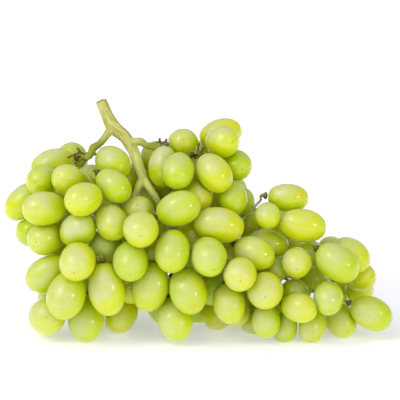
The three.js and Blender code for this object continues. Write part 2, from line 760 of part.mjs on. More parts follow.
// Adds a solid as a named mesh, placed from the middle of its own footprint
function addMesh(name, solid, look) {
  const { vertProperties, triVerts, numProp } = mainBody(solid.simplify(SMOOTHING)).getMesh();
  const geometry = new THREE.BufferGeometry();
  const corners = [];
  for (let at = 0; at < vertProperties.length; at += numProp) {
    corners.push(...vertProperties.slice(at, at + 3));
  }
  geometry.setAttribute("position", new THREE.Float32BufferAttribute(corners, 3));
  geometry.setIndex([...triVerts]);
  geometry.computeBoundingBox();
  const middle = geometry.boundingBox.getCenter(new THREE.Vector3()).round();
  middle.z = 0;
  geometry.translate(...middle.clone().negate());
  const flat = geometry.toNonIndexed();
  flat.computeVertexNormals();
  const mesh = new THREE.Mesh(flat, new THREE.MeshStandardMaterial({ ...look, metalness: 0 }));
  mesh.name = name;
  mesh.position.copy(middle).sub(BUNCH_CENTRE);
  group.add(mesh);
}

export default group;
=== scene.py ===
"""The looks of a bunch of large white table grapes that lies on its side.

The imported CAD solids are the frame. Each spray of berries is made again from the same
layout as the solids, berry by berry, as smooth pressed skins, and takes the place of
its node. The stem is grown smooth over its own solid.
"""
import logging
import math
from dataclasses import dataclass, field
from enum import Enum

import bmesh
import bpy
import numpy as np
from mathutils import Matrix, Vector, kdtree


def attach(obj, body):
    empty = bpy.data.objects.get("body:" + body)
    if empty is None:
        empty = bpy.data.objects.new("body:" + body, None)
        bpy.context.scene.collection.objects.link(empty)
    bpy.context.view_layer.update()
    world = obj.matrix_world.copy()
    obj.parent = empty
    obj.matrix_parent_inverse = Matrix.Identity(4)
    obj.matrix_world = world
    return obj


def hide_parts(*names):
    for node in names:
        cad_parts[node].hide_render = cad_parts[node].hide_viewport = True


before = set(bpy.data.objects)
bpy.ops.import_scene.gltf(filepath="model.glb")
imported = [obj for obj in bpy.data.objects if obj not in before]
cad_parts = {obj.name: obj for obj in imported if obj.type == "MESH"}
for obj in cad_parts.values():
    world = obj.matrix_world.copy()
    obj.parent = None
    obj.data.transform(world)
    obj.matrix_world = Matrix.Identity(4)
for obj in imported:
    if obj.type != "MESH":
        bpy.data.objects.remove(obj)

LOG = logging.getLogger("bunch_of_grapes")
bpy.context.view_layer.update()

MM = 0.001  # the layout is in millimetres, the scene in metres

# The layout's driving dimensions, in millimetres, as the solids have them.
BERRY_SLENDERNESS = 1.34  # length of a ripe berry over its width
PRESS = 1.3  # how deep two berries press into each other where they touch
SKIN_GAP = 0.06  # left between two skins that press on each other
FLAT_DEPTH = 0.7  # how far the lowest berries are pressed flat by the weight
SETTLE = 4  # a hidden berry this close to the surface goes down to rest on it
SINK = 1.6  # how far the seen berries are lowered, to rest on the surface too
SIGHT_ELEVATION = math.radians(15)  # how far the viewer looks down
BUNCH_CENTRE = np.array([-1.4, 28.9, 0.0])  # middle of the bunch's box, on the surface
SEED = 20260

SIN = math.sin(SIGHT_ELEVATION)
COS = math.cos(SIGHT_ELEVATION)
UP = np.array([0.0, 0.0, 1.0])

# The berries that a viewer sees, spray by spray: u (right), v (up) and w (away) of the
# middle, half the length and half the width as they show, and the heading of the tip.
SPRAYS: dict[str, list[tuple[float, ...]]] = {
    "wing_top": [
        (-71.5, 101.5, 10, 9.5, 9.3, 100),
        (-81.5, 97.5, 4, 13, 9.5, 200),
        (-86.5, 89, 0, 9.5, 9, 190),
        (-72, 89, -4, 10, 9, 150),
        (-66, 88, 20, 9.2, 9, 120),
        (-80, 84, 18, 9.2, 9, 190),
    ],
    "wing_side": [
        (-97.3, 77.8, 2, 12.6, 8.8, 225),
        (-85, 74, -12, 12.5, 9.7, 185),
        (-94, 61.3, 4, 8.6, 8.6, 200),
        (-84.4, 57.5, -16, 10.4, 9.7, 200),
        (-74, 70, 12, 9.5, 9.2, 90),
    ],
    "wing_front": [
        (-63.3, 79.3, -24, 10.7, 9.2, 200),
        (-67, 62, -18, 11, 9.5, 30),
        (-66.6, 45.2, -26, 11, 10.1, 255),
        (-52, 53.5, -8, 9.3, 9.3, 270),
    ],
    "wing_foot": [
        (-83.7, 38.5, -12, 13, 9.5, 215),
        (-72.8, 27, -20, 13.8, 10.7, 250),
        (-84, 14.5, -2, 10.3, 10.3, 250),
        (-81.5, 25, 8, 8.5, 8.5, 240),
        (-62.7, 13.5, -2, 13.3, 10.2, 270),
        (-77, 49, 14, 9.5, 9.2, 200),
    ],
    "neck": [
        (-48, 99, -5, 10.8, 9.3, 315),
        (-47.5, 86.5, -14, 11, 8.5, 320),
        (-60, 89.5, 5, 9.5, 9, 300),
        (-41, 91, 0, 8.5, 8.5, 300),
        (-31, 77, 14, 9.2, 9, 270),
        (-53, 76, 6, 9.2, 9, 270),
        (-43, 76, 22, 9.2, 9, 270),
    ],
    "breast": [
        (-48.3, 66.5, -17, 10.6, 9.3, 300),
        (-32.2, 63, -30, 10.3, 10, 270),
        (-34, 70.5, -16, 10.5, 9.8, 90),
        (-38, 45.5, -23, 11.3, 10, 270),
        (-27, 49, -6, 9, 9, 270),
        (-42, 57, 14, 9.2, 9, 120),
        (-56, 43, 12, 9.2, 9, 270),
    ],
    "belly_left": [
        (-51, 30, -22, 15, 10.2, 278),
        (-43.5, 15.5, 4, 11, 9, 240),
        (-38, 30, -4, 9, 9, 270),
        (-27, 31.3, -18, 14.2, 10, 255),
    ],
    "shoulder": [
        (-24.5, 102.5, 8, 9.3, 9.3, 120),
        (-20, 97, -3, 12, 8.5, 265),
        (-9.5, 109, 4, 9.2, 9, 80),
        (-11.9, 94.6, -13, 10.5, 9.1, 262),
        (-18, 84, 14, 9.2, 9, 60),
        (-33, 88.5, 19, 9.2, 9, 90),
    ],
    "shoulder_tip": [
        (12.2, 110.5, 2, 9.8, 9, 0),
        (11, 115, 10, 12.5, 8.8, 17),
        (7.6, 93.5, -10, 12, 9.3, 307),
        (20, 98, 3, 9, 8.5, 320),
        (1, 103, 16, 9.2, 9, 60),
        (-2, 92, 10, 9.2, 9, 60),
    ],
    "back_fold": [
        (18.5, 83.5, 6, 8.5, 8.5, 20),
        (18, 80, -8, 10, 8, 280),
        (9, 79, 1, 9, 8.5, 280),
        (22, 78, -6, 8.5, 8.3, 340),
    ],
    "middle": [
        (-1.5, 80.5, -5, 9, 8.8, 280),
        (-11.8, 73.7, -20, 12.8, 9.6, 20),
        (-15, 51, -25, 12, 9.8, 265),
        (4.8, 48, -26, 11.2, 9.9, 290),
        (-4, 60, -6, 9, 9, 280),
        (10, 65, -16, 14.3, 9.9, 350),
        (-23, 60, 16, 9.2, 9, 270),
        (-5, 43, 12, 9.2, 9, 270),
    ],
    "belly_right": [
        (-6.6, 29.3, -19, 13.2, 10.2, 285),
        (-14, 13.5, -9, 12.5, 9.8, 287),
        (7.5, 29, -1, 9, 9, 280),
        (9.5, 15.5, 5, 9, 8.5, 270),
        (15.9, 22.4, -14, 11.3, 8.9, 280),
        (19.5, 17, -4, 8.3, 8.2, 270),
        (27, 25, 6, 9, 8.8, 270),
    ],
    "waist": [
        (21.8, 38.3, -28, 9.6, 9.3, 270),
        (29.4, 49.5, -16, 12, 9.3, 335),
        (35.5, 29.5, -22, 10.5, 10.2, 270),
        (41, 40.5, -6, 7.2, 7, 300),
        (31, 39, 10, 9, 8.8, 300),
        (16, 51, 6, 9, 8.8, 300),
    ],
    "flank": [
        (37.3, 70.3, -10, 7.6, 7.1, 280),
        (26, 66, 3, 9.5, 8.5, 300),
        (37, 54.3, -5, 12, 8.6, 350),
        (48.3, 80, -1, 11.7, 8, 355),
        (56, 65, -8, 13.4, 9.2, 350),
        (53, 49, 8, 9, 8.8, 350),
        (62, 36, 8, 9, 8.6, 300),
    ],
    "flank_foot": [
        (30, 11.2, 3, 8.3, 8.3, 270),
        (36.2, 13, -9, 10.2, 7.9, 272),
        (47, 8.8, -4, 9.6, 6.8, 260),
        (54, 19.8, -16, 10.2, 8.5, 345),
        (52, 27, -7, 8.6, 8.6, 300),
        (61.5, 9.5, -3, 9.7, 7.6, 262),
        (70.2, 25.2, -15, 9.6, 8.5, 270),
        (43, 20, 6, 9, 8.8, 280),
    ],
    "tail_top": [
        (53, 44.5, -12, 8.8, 8.4, 270),
        (61, 48.5, 0, 8, 8, 300),
        (75, 44.3, -14, 13.2, 10, 325),
        (83, 48.5, -2, 11.5, 9, 320),
        (72.5, 51, 4, 8, 8, 30),
        (88.5, 36, 0, 9, 8, 5),
    ],
    "tail": [
        (88.5, 28.5, 6, 8.5, 8.5, 0),
        (94, 16.5, -1, 12.5, 9.2, 335),
        (77.5, 12.5, 0, 10, 8.8, 300),
        (78, 30, 10, 9, 8.6, 320),
    ],
}

# x, y and z of the body's middle, and how far its outermost berries sit from there.
BODY = [
    (-84, 26, 50, 22, 26),
    (-58, 32, 51, 32, 36),
    (-10, 33, 50, 34, 36),
    (30, 29, 38, 29, 26),
    (65, 26, 30, 22, 18),
    (92, 22, 25, 12, 9),
]

# The berries that a viewer doesn't see lie round that body by a rule.
HIDDEN_BERRIES = 26  # at most, on the far side and underneath
HIDDEN_FROM, HIDDEN_TO = 15.0, 215.0  # degrees from straight up, over the far side
HIDDEN_HALF_WIDTHS = (8.8, 10)
HIDDEN_AHEAD = (-0.2, 0.8)  # how far a hidden berry's tip points along the bunch
HIDDEN_TWIST = 0.3  # how far at most it points past outwards, either way
HIDDEN_DROOP = 0.3  # how far it hangs down
HIDDEN_TRIES = 200  # places looked at for each of them
INNER_BERRIES = 2  # at most, deep in the bunch, hidden by all others
INNER_REACH = 0.4  # how far out towards the outer berries these lie
STEM_GAP = 0.32  # clear space kept round the bare stem
BODY_ENDS = (BODY[0][0] + 0.1, BODY[-1][0])  # a little inside the first station

# The bare limbs of the stem: u, v, w and radius.
LIMBS: dict[str, list[tuple[float, ...]]] = {
    "peduncle": [(-54.8, 133.2, 14, 3.1), (-51.7, 126, 12, 3.2), (-48.3, 119.5, 10, 3.9),
                 (-41.5, 113.5, 8, 3.3), (-37, 106, 6, 3), (-34.3, 98, 4, 2.8),
                 (-31.5, 90.5, 3, 2.5)],
    "fork_left": [(-31.5, 90.5, 3, 2.4), (-34.5, 84, 3, 1.8), (-35, 79, 6, 1.5)],
    "fork_right": [(-31.5, 90.5, 3, 2.4), (-27, 84, 2, 2), (-24, 79.5, 3, 1.7),
                   (-22, 73, 8, 1.5)],
    "left_arm": [(-48.6, 119, 10, 2.6), (-52.3, 113.5, 9, 2), (-55.5, 109.5, 8, 1.7),
                 (-59, 107.2, 6, 2.2), (-60.3, 104.2, 5, 1.6), (-61.4, 102.2, 4, 1.9)],
    "left_twig": [(-60.3, 104.2, 5, 1), (-64.5, 104.2, 4, 0.9), (-66, 105.6, 4, 0.8),
                  (-67.8, 107.3, 4, 1.2)],
    "left_twig_out": [(-64.5, 104.2, 4, 0.9), (-68.2, 104.2, 3, 0.8), (-71, 102.9, 3, 0.8),
                      (-72.9, 101.8, 3, 1.2)],
    "left_twig_down": [(-61.4, 102.2, 4, 1.2), (-65.5, 100.7, 3, 0.8), (-67.7, 99.8, 3, 0.8),
                       (-69.3, 98.7, 3, 1.2)],
    "left_twig_low": [(-61.4, 102.2, 4, 1.2), (-64.2, 98.8, 1, 0.8), (-65.4, 96.8, 0, 1.2)],
    "left_twig_back": [(-60.3, 104.2, 5, 1), (-57.4, 103.7, 5, 0.8), (-55.4, 104.6, 5, 1.2)],
    "right_arm": [(-38.5, 109.3, 7, 2), (-35.5, 110.8, 6, 2.2), (-32.5, 110.8, 5, 2.2),
                  (-30, 109, 4, 1.7), (-25.5, 107.6, 4, 1.5), (-22.5, 107.6, 5, 1.5)],
    "right_twig": [(-22.5, 107.6, 5, 1), (-21.5, 109.5, 4, 0.8), (-19.5, 110.5, 3, 0.8),
                   (-18.2, 112.3, 3, 1.2)],
    "right_twig_up": [(-21.5, 109.5, 4, 0.8), (-22.6, 111, 4, 0.8), (-22, 112.8, 4, 1.2)],
    "knot_twig_left": [(-2.5, 103, 0, 1.3), (-4.6, 104.6, -1, 0.8), (-5.6, 102.6, -2, 1.2)],
    "knot_twig_up": [(-2.5, 103, 0, 1.3), (-1.2, 106.5, 0, 0.8), (-0.6, 110, 0, 1.2)],
    "knot_twig_right": [(-2.5, 103, 0, 1.3), (0.6, 105, -1, 0.8), (2.4, 107.6, -1, 1.2)],
}

# The limbs that are thick enough to show the ridges of the bark, with how green each is:
# by how far along it, in millimetres, up to 1 on the darker arms and -1 on pale forks.
# The pale forks and lower peduncle are partly painted light, made lighter where the
# berries shade them.
LIMB_GREENS_AND_LIGHT = {
    "peduncle": ((24, 40), (0.0, -0.5)),
    "fork_left": ((-4, 4), (0.0, -1.0)),
    "fork_right": ((-4, 4), (0.0, -1.0)),
    "left_arm": ((4, 12), (0.0, 1.0)),
    "right_arm": ((4, 12), (0.0, 1.0)),
}


def from_sight(u: float, v: float, w: float) -> np.ndarray:
    """Turns a direction from the sight frame into the layout's own.

    Args:
        u: Distance to the right, as the viewer sees it.
        v: Distance up, as the viewer sees it.
        w: Distance away from the viewer.

    Returns:
        The same direction along the layout's x, y and z.
    """
    return np.array([u, v * SIN + w * COS, v * COS - w * SIN])


def sight_point(u: float, v: float, w: float) -> np.ndarray:
    """Gives the layout's place of a point in the sight frame, sunk onto the surface."""
    return from_sight(u, v, w) - np.array([0.0, 0.0, SINK])


def in_metres(point: np.ndarray) -> np.ndarray:
    """Turns a place in the layout, or an array of them, into the frame's metres."""
    return (point - BUNCH_CENTRE) * MM


def lengths_of(rows: np.ndarray) -> np.ndarray:
    """Returns the length of each vector, where the last axis holds a vector."""
    return np.sqrt((rows**2).sum(axis=-1))


class SeededRandom:
    """The layout's own random numbers, the same here as in the solids.

    They come from a small generator of 32-bit numbers, whose constants are fixed.
    """

    def __init__(self, seed: int) -> None:
        """Starts the row of numbers at a seed."""
        self.state = seed

    def next(self) -> float:
        """Mixes the state once more.

        Returns:
            The next number, from 0 to 1.
        """
        mask = 0xFFFFFFFF
        self.state = (self.state + 0x6D2B79F5) & mask
        mix = self.state
        mix = ((mix ^ (mix >> 15)) * (mix | 1)) & mask
        mix ^= (mix + ((mix ^ (mix >> 7)) * (mix | 61))) & mask
        return ((mix ^ (mix >> 14)) & mask) / 4294967296

    def between(self, low: float, high: float) -> float:
        """Returns the next number, from low to high."""
        return low + (high - low) * self.next()


@dataclass(eq=False)
class Berry:
    """A long ellipsoid: its middle, the way its tip points, and its half sizes."""

    centre: np.ndarray
    axis: np.ndarray
    half_length: float
    half_width: float
    spray: str

    def __post_init__(self) -> None:
        """Makes the axis one long."""
        self.axis = self.axis / math.sqrt(float(self.axis @ self.axis))

    def reach(self, direction: np.ndarray) -> float:
        """Returns how far the berry reaches from its middle in a direction."""
        stretch = self.half_length**2 - self.half_width**2
        return math.sqrt(self.half_width**2 + stretch * float(direction @ self.axis) ** 2)

    def stem_end(self) -> np.ndarray:
        """Returns the point of the skin where the berry hangs on its stalk."""
        return self.centre - self.axis * self.half_length


@dataclass
class Contacts:
    """The planes that part a berry from its neighbours, and the gap at each."""

    others: np.ndarray  # the neighbours' numbers in the heap
    normals: np.ndarray  # out of the berry, one row each
    gaps: np.ndarray  # negative where the two press into each other
    levels: np.ndarray  # how far along its normal each plane lies


class Heap:
    """A heap of berries, held as arrays so that one is measured against all at once."""

    NEARBY = 2  # a gap wider than this isn't measured, in millimetres
    SAME = 1e-6  # two berries whose middles are closer than this are one
    TURNS = 5  # how often a plane is turned towards the widest gap
    STEADINESS = 30  # what the pull is divided by at each turn

    def __init__(self, berries: list[Berry]) -> None:
        """Starts the heap with some berries, or with none."""
        self.berries = list(berries)
        self._fill_arrays()

    def _fill_arrays(self) -> None:
        """Writes the berries' places and sizes into arrays."""
        self.centres = np.array([b.centre for b in self.berries]).reshape(-1, 3)
        self.axes = np.array([b.axis for b in self.berries]).reshape(-1, 3)
        self.half_lengths = np.array([b.half_length for b in self.berries])
        self.half_widths = np.array([b.half_width for b in self.berries])

    def add(self, berry: Berry) -> None:
        """Lays one more berry on the heap."""
        self.berries.append(berry)
        self._fill_arrays()

    def contacts(self, berry: Berry) -> Contacts:
        """Finds the planes between a berry and those of the heap that are near it.

        Each plane starts square to the line between the two middles and is turned a
        few times to where the gap is widest.

        Args:
            berry: The berry to measure, which may be one of the heap's own.

        Returns:
            The contacts with its neighbours.
        """
        offsets = self.centres - berry.centre
        distances = lengths_of(offsets)
        near = distances < self.half_lengths + berry.half_length + self.NEARBY
        others = np.flatnonzero(near & (distances > self.SAME))
        offset, axes = offsets[others], self.axes[others]
        wide = self.half_widths[others] ** 2
        stretch = self.half_lengths[others] ** 2 - wide
        own_wide = berry.half_width**2
        own_stretch = berry.half_length**2 - own_wide
        normal = offset / distances[others, None]
        for turn in range(self.TURNS + 1):
            own_lean, lean = normal @ berry.axis, (normal * axes).sum(axis=1)
            own_reach = np.sqrt(own_wide + own_stretch * own_lean**2)
            reach = np.sqrt(wide + stretch * lean**2)
            if turn == self.TURNS:
                break
            own_skin = normal * own_wide + berry.axis * (own_stretch * own_lean)[:, None]
            skin = normal * wide[:, None] + axes * (stretch * lean)[:, None]
            pull = offset - own_skin / own_reach[:, None] - skin / reach[:, None]
            pull -= normal * (pull * normal).sum(axis=1)[:, None]
            normal = normal + pull / self.STEADINESS
            normal /= lengths_of(normal)[:, None]
        gaps = (normal * offset).sum(axis=1) - own_reach - reach
        return Contacts(others, normal, gaps, normal @ berry.centre + own_reach + gaps / 2)

    def closest(self, berry: Berry) -> tuple[float, Berry | None]:
        """Finds the berry of the heap that lies closest against another.

        Args:
            berry: The berry to measure from.

        Returns:
            The gap to the closest, and that berry.
        """
        if not self.berries:
            return math.inf, None
        found = self.contacts(berry)
        if not found.others.size:
            return math.inf, None
        best = int(found.gaps.argmin())
        return float(found.gaps[best]), self.berries[found.others[best]]

    def buries(self, berry: Berry) -> bool:
        """Tells at a glance whether a berry would press too deep into one of the heap.

        Args:
            berry: The berry to measure.

        Returns:
            True where it surely would; where it is False the contacts have to say.
        """
        offsets = self.centres - berry.centre
        least = self.half_widths + berry.half_width - PRESS
        return bool(((offsets**2).sum(axis=1) < least**2).any())


@dataclass
class BunchLayout:
    """Where every berry of the bunch lies, found by the same rules as in the solids."""

    random: SeededRandom = field(default_factory=lambda: SeededRandom(SEED))
    heap: Heap = field(default_factory=lambda: Heap([]))
    step_back: float = 0.25  # how far a seen berry slides at a time, in millimetres

    def place(self) -> None:
        """Places the seen berries, then the hidden ones behind and under them."""
        self._place_seen()
        stem = Heap([
            Berry(sight_point(u, v, w), UP, radius, radius, "stem")
            for limb in LIMBS.values() for u, v, w, radius in limb
        ])
        self._fill(HIDDEN_BERRIES, 1.0, stem)
        self._fill(INNER_BERRIES, INNER_REACH, stem)

    @staticmethod
    def _seen_berry(row: tuple[float, ...], spray: str) -> Berry:
        """Builds a berry from its row; how short it shows says how far it is turned.

        Args:
            row: The berry's row in its spray's table.
            spray: The spray's name.

        Returns:
            The berry, where it would like to lie.
        """
        u, v, w, shown, half_width, heading = row
        half_length = max(shown, half_width * BERRY_SLENDERNESS)
        lost = half_length**2 - shown**2
        turn = math.asin(math.sqrt(lost / (half_length**2 - half_width**2)))
        angle = math.radians(heading)
        axis = from_sight(
            math.cos(turn) * math.cos(angle), math.cos(turn) * math.sin(angle),
            -math.sin(turn),
        )
        return Berry(sight_point(u, v, w), axis, half_length, half_width, spray)

    def _place_seen(self) -> None:
        """Slides each seen berry back until it only presses on those before it."""
        away = from_sight(0, 0, self.step_back)
        rows = [(row[2], self._seen_berry(row, spray))
                for spray, table in SPRAYS.items() for row in table]
        rows.sort(key=lambda pair: pair[0])
        for _, berry in rows:
            while self.heap.closest(berry)[0] < -PRESS:
                berry.centre = berry.centre + away
            self.heap.add(berry)

    @staticmethod
    def _body_at(x: float) -> list[float]:
        """Finds how wide and high the body is at a place along it.

        Args:
            x: The place, which lies between the body's two ends.

        Returns:
            The station there: x, y and z of the middle, and the reach each way.
        """
        last = next(i for i, station in enumerate(BODY) if station[0] >= x)
        start, end = BODY[last - 1], BODY[last]
        share = (x - start[0]) / (end[0] - start[0])
        return [a + (b - a) * share for a, b in zip(start, end)]

    def body_middle(self, x: float) -> np.ndarray:
        """Returns the middle of the body beside a place along it."""
        _, y, z, _, _ = self._body_at(float(np.clip(x, *BODY_ENDS)))
        return np.array([x, y, z])

    def _hidden_berry(self, scale: float) -> Berry:
        """Draws a random berry on the far side, its tip outwards and a little ahead.

        Args:
            scale: How far out it lies, as a share of the body's reach.

        Returns:
            The berry, which belongs to no spray yet.
        """
        x = self.random.between(*BODY_ENDS)
        angle = math.radians(self.random.between(HIDDEN_FROM, HIDDEN_TO))
        half_width = self.random.between(*HIDDEN_HALF_WIDTHS)
        _, y, z, sideways, upwards = self._body_at(x)
        centre = np.array([
            x, y + scale * sideways * math.sin(angle), z + scale * upwards * math.cos(angle)])
        axis = np.array([
            self.random.between(*HIDDEN_AHEAD),
            math.sin(angle) + self.random.between(-HIDDEN_TWIST, HIDDEN_TWIST),
            math.cos(angle) - HIDDEN_DROOP])
        berry = Berry(centre, axis, half_width * BERRY_SLENDERNESS, half_width, "")
        resting = berry.reach(UP) - FLAT_DEPTH
        if berry.centre[2] < resting + SETTLE:
            berry.centre[2] = resting
        return berry

    def _fill(self, count: int, scale: float, stem: Heap) -> None:
        """Adds hidden berries, each where it lies closest against those before it.

        Args:
            count: How many berries to try for.
            scale: How far out they lie, as a share of the body's reach.
            stem: Balls along the bare stem, which they keep clear of.
        """
        for _ in range(count):
            best: tuple[float, Berry, Berry] | None = None
            for _ in range(HIDDEN_TRIES):
                berry = self._hidden_berry(scale)
                if self.heap.buries(berry):
                    continue
                gap, other = self.heap.closest(berry)
                if gap < -PRESS or other is None or stem.closest(berry)[0] < STEM_GAP:
                    continue
                if best is None or gap < best[0]:
                    best = (gap, berry, other)
            if best is not None:
                best[1].spray = best[2].spray
                self.heap.add(best[1])

    def limits(self, berry: Berry) -> tuple[np.ndarray, np.ndarray]:
        """Finds the planes that a berry's skin may not cross.

        Args:
            berry: The berry whose neighbours are looked at.

        Returns:
            Each plane's normal, out of the berry, and its level along that normal.
        """
        found = self.heap.contacts(berry)
        firm = found.gaps < SKIN_GAP
        normals = np.vstack([-UP, found.normals[firm]])
        levels = np.append(0.0, found.levels[firm] - SKIN_GAP / 2)
        return normals, levels


def colour(code: str) -> tuple[float, float, float, float]:
    """Turns an sRGB colour such as "#C8D41E" into the linear one that Blender takes.

    Args:
        code: The colour as six hexadecimal digits after a hash.

    Returns:
        Its linear red, green and blue, and an alpha of 1.
    """
    parts = [int(code[at:at + 2], 16) / 255 for at in (1, 3, 5)]
    linear = [p / 12.92 if p <= 0.04045 else ((p + 0.055) / 1.055) ** 2.4 for p in parts]
    return (linear[0], linear[1], linear[2], 1.0)


def add_node(tree: bpy.types.NodeTree, kind: str, inputs: dict[str | int, object] | None = None,
             **settings: object) -> bpy.types.Node:
    """Adds a node to a tree, sets it and wires it up.

    Args:
        tree: The node tree.
        kind: The node's type, by Blender's name.
        inputs: What goes into its sockets, by name or number: a value or a socket.
        **settings: The node's own properties.

    Returns:
        The new node.
    """
    node = tree.nodes.new(kind)
    for name, value in settings.items():
        setattr(node, name, value)
    for key, value in (inputs or {}).items():
        if isinstance(key, int):
            entry = node.inputs[key]
        else:
            entry = next(s for s in node.inputs if s.name == key and s.enabled)
        if isinstance(value, bpy.types.NodeSocket):
            tree.links.new(value, entry)
        else:
            entry.default_value = value
    return node


def live_output(node: bpy.types.Node, name: str) -> bpy.types.NodeSocket:
    """Returns the output of that name that is in use, where a node has several."""
    return next(s for s in node.outputs if s.name == name and s.enabled)


def tree_with_inputs(name: str, inputs: dict[str, str]) -> bpy.types.NodeTree:
    """Makes an empty Geometry Nodes tree with named inputs.

    Args:
        name: The tree's name.
        inputs: The type of each input's socket, by the input's name.

    Returns:
        The tree, which has a geometry input and a geometry output besides.
    """
    tree = bpy.data.node_groups.new(name, "GeometryNodeTree")
    tree.interface.new_socket("Geometry", in_out="INPUT", socket_type="NodeSocketGeometry")
    for label, kind in inputs.items():
        tree.interface.new_socket(label, in_out="INPUT", socket_type=kind)
    tree.interface.new_socket("Geometry", in_out="OUTPUT", socket_type="NodeSocketGeometry")
    return tree


def finish_tree(tree: bpy.types.NodeTree, shape: bpy.types.NodeSocket,
                material: bpy.types.NodeSocket) -> None:
    """Ends a Geometry Nodes tree with real geometry that wears its material.

    Args:
        tree: The tree.
        shape: The output with the shape, which may still hold instances.
        material: The tree's own input for the material.
    """
    real = add_node(tree, "GeometryNodeRealizeInstances", {"Geometry": shape})
    dressed = add_node(tree, "GeometryNodeSetMaterial", {
        "Geometry": real.outputs["Geometry"], "Material": material})
    add_node(tree, "NodeGroupOutput", {"Geometry": dressed.outputs["Geometry"]})


def turned_on_points(tree: bpy.types.NodeTree, points: bpy.types.NodeSocket,
                     instance: bpy.types.NodeSocket,
                     size: bpy.types.NodeSocket) -> bpy.types.NodeSocket:
    """Sets a copy of a shape on each point, with its z along the point's own axis.

    Args:
        tree: The Geometry Nodes tree.
        points: A mesh whose vertices are the points, with the attribute "axis".
        instance: The shape.
        size: How far it is stretched along its x, y and z.

    Returns:
        The output with the copies, still as instances.
    """
    axis = add_node(tree, "GeometryNodeInputNamedAttribute", {"Name": "axis"},
                    data_type="FLOAT_VECTOR")
    turned = add_node(tree, "FunctionNodeAlignRotationToVector", {
        "Vector": live_output(axis, "Attribute")}, axis="Z")
    places = add_node(tree, "GeometryNodeMeshToPoints", {"Mesh": points})
    copies = add_node(tree, "GeometryNodeInstanceOnPoints", {
        "Points": places.outputs["Points"], "Instance": instance,
        "Rotation": turned.outputs["Rotation"], "Scale": size})
    return copies.outputs["Instances"]


def grown(name: str, seed_data: bpy.types.ID, tree: bpy.types.NodeTree,
          inputs: dict[str, object]) -> bpy.types.Mesh:
    """Runs a Geometry Nodes tree over some data and keeps the plain mesh it makes.

    Args:
        name: The name of the new mesh.
        seed_data: The mesh or curve that the tree starts from.
        tree: The Geometry Nodes tree.
        inputs: A value for each of the tree's named inputs.

    Returns:
        The mesh; the object that grew it is gone.
    """
    source = bpy.data.objects.new(name + "_source", seed_data)
    bpy.context.scene.collection.objects.link(source)
    modifier = source.modifiers.new("grow", "NODES")
    modifier.node_group = tree
    sockets = {item.name: item.identifier for item in tree.interface.items_tree
               if item.item_type == "SOCKET" and item.in_out == "INPUT"}
    for label, value in inputs.items():
        modifier[sockets[label]] = value
    evaluated = source.evaluated_get(bpy.context.evaluated_depsgraph_get())
    mesh = bpy.data.meshes.new_from_object(evaluated)
    mesh.name = name
    bpy.data.objects.remove(source)
    return mesh


def positions(mesh: bpy.types.Mesh) -> np.ndarray:
    """Reads where the mesh's vertices are.

    Args:
        mesh: The mesh, in metres.

    Returns:
        Their places in the layout, in millimetres, one row each.
    """
    flat = np.empty(len(mesh.vertices) * 3, np.float32)
    mesh.vertices.foreach_get("co", flat)
    return flat.reshape(-1, 3).astype(float) / MM + BUNCH_CENTRE


def set_positions(mesh: bpy.types.Mesh, places: np.ndarray) -> None:
    """Moves the mesh's vertices to the places given in the layout, in millimetres."""
    mesh.vertices.foreach_set("co", in_metres(places).astype(np.float32).ravel())
    mesh.update()


def point_attribute(mesh: bpy.types.Mesh, name: str, values: np.ndarray) -> None:
    """Stores a number or a vector at each of the mesh's vertices.

    Args:
        mesh: The mesh.
        name: The attribute's name.
        values: One number, or one row of three, for each vertex.
    """
    vector = values.ndim == 2
    layer = mesh.attributes.new(name, "FLOAT_VECTOR" if vector else "FLOAT", "POINT")
    layer.data.foreach_set("vector" if vector else "value", values.astype(np.float32).ravel())


class Finish(Enum):
    """The record's material slots."""

    BERRIES = "berries"
    STEM = "stem"


def add_piece(name: str, mesh: bpy.types.Mesh, finish: Finish, *nodes: str) -> bpy.types.Object:
    """Puts a finished mesh into the scene as a piece of the object.

    Args:
        name: The piece's name.
        mesh: Its mesh, with its place in it.
        finish: Not used.
        *nodes: The CAD nodes that it stands for.

    Returns:
        The new object.
    """
    mesh.shade_smooth()
    piece = bpy.data.objects.new(name, mesh)
    bpy.context.scene.collection.objects.link(piece)
    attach(piece, "root")
    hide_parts(*nodes)
    LOG.info("%s: %d faces", name, len(mesh.polygons))
    return piece


def empty_material(name: str) -> bpy.types.Material:
    """Makes a material that has no nodes yet.

    Args:
        name: The material's name.

    Returns:
        The material.
    """
    material = bpy.data.materials.new(name)
    material.use_nodes = True
    material.node_tree.nodes.clear()
    return material


def scale_of(size: float) -> float:
    """Returns the scale of a pattern whose features are so many millimetres across."""
    return 1 / (size * MM)


@dataclass(frozen=True)
class Paint:
    """A colour that lies over others where some value passes from one level to another."""

    code: str
    none: float  # the value where nothing of it shows
    full: float  # and where it shows most
    strength: float = 1.0  # how much it hides there

    def over(self, tree: bpy.types.NodeTree, base: object, value: bpy.types.NodeSocket,
             amount: bpy.types.NodeSocket | None = None) -> bpy.types.NodeSocket:
        """Lays the paint over a colour.

        Args:
            tree: The material's node tree.
            base: The colour under it, a socket or a linear colour.
            value: The output that says where the paint shows.
            amount: An output that thins it further, or none.

        Returns:
            The output with the new colour.
        """
        share = add_node(tree, "ShaderNodeMapRange", {
            "Value": value, "From Min": self.none, "From Max": self.full,
            "To Max": self.strength}, interpolation_type="SMOOTHSTEP").outputs["Result"]
        if amount is not None:
            share = add_node(tree, "ShaderNodeMath", {0: share, 1: amount},
                             operation="MULTIPLY").outputs["Value"]
        mixed = add_node(tree, "ShaderNodeMix", {
            "Factor": share, "A": base, "B": colour(self.code)}, data_type="RGBA")
        return live_output(mixed, "Result")


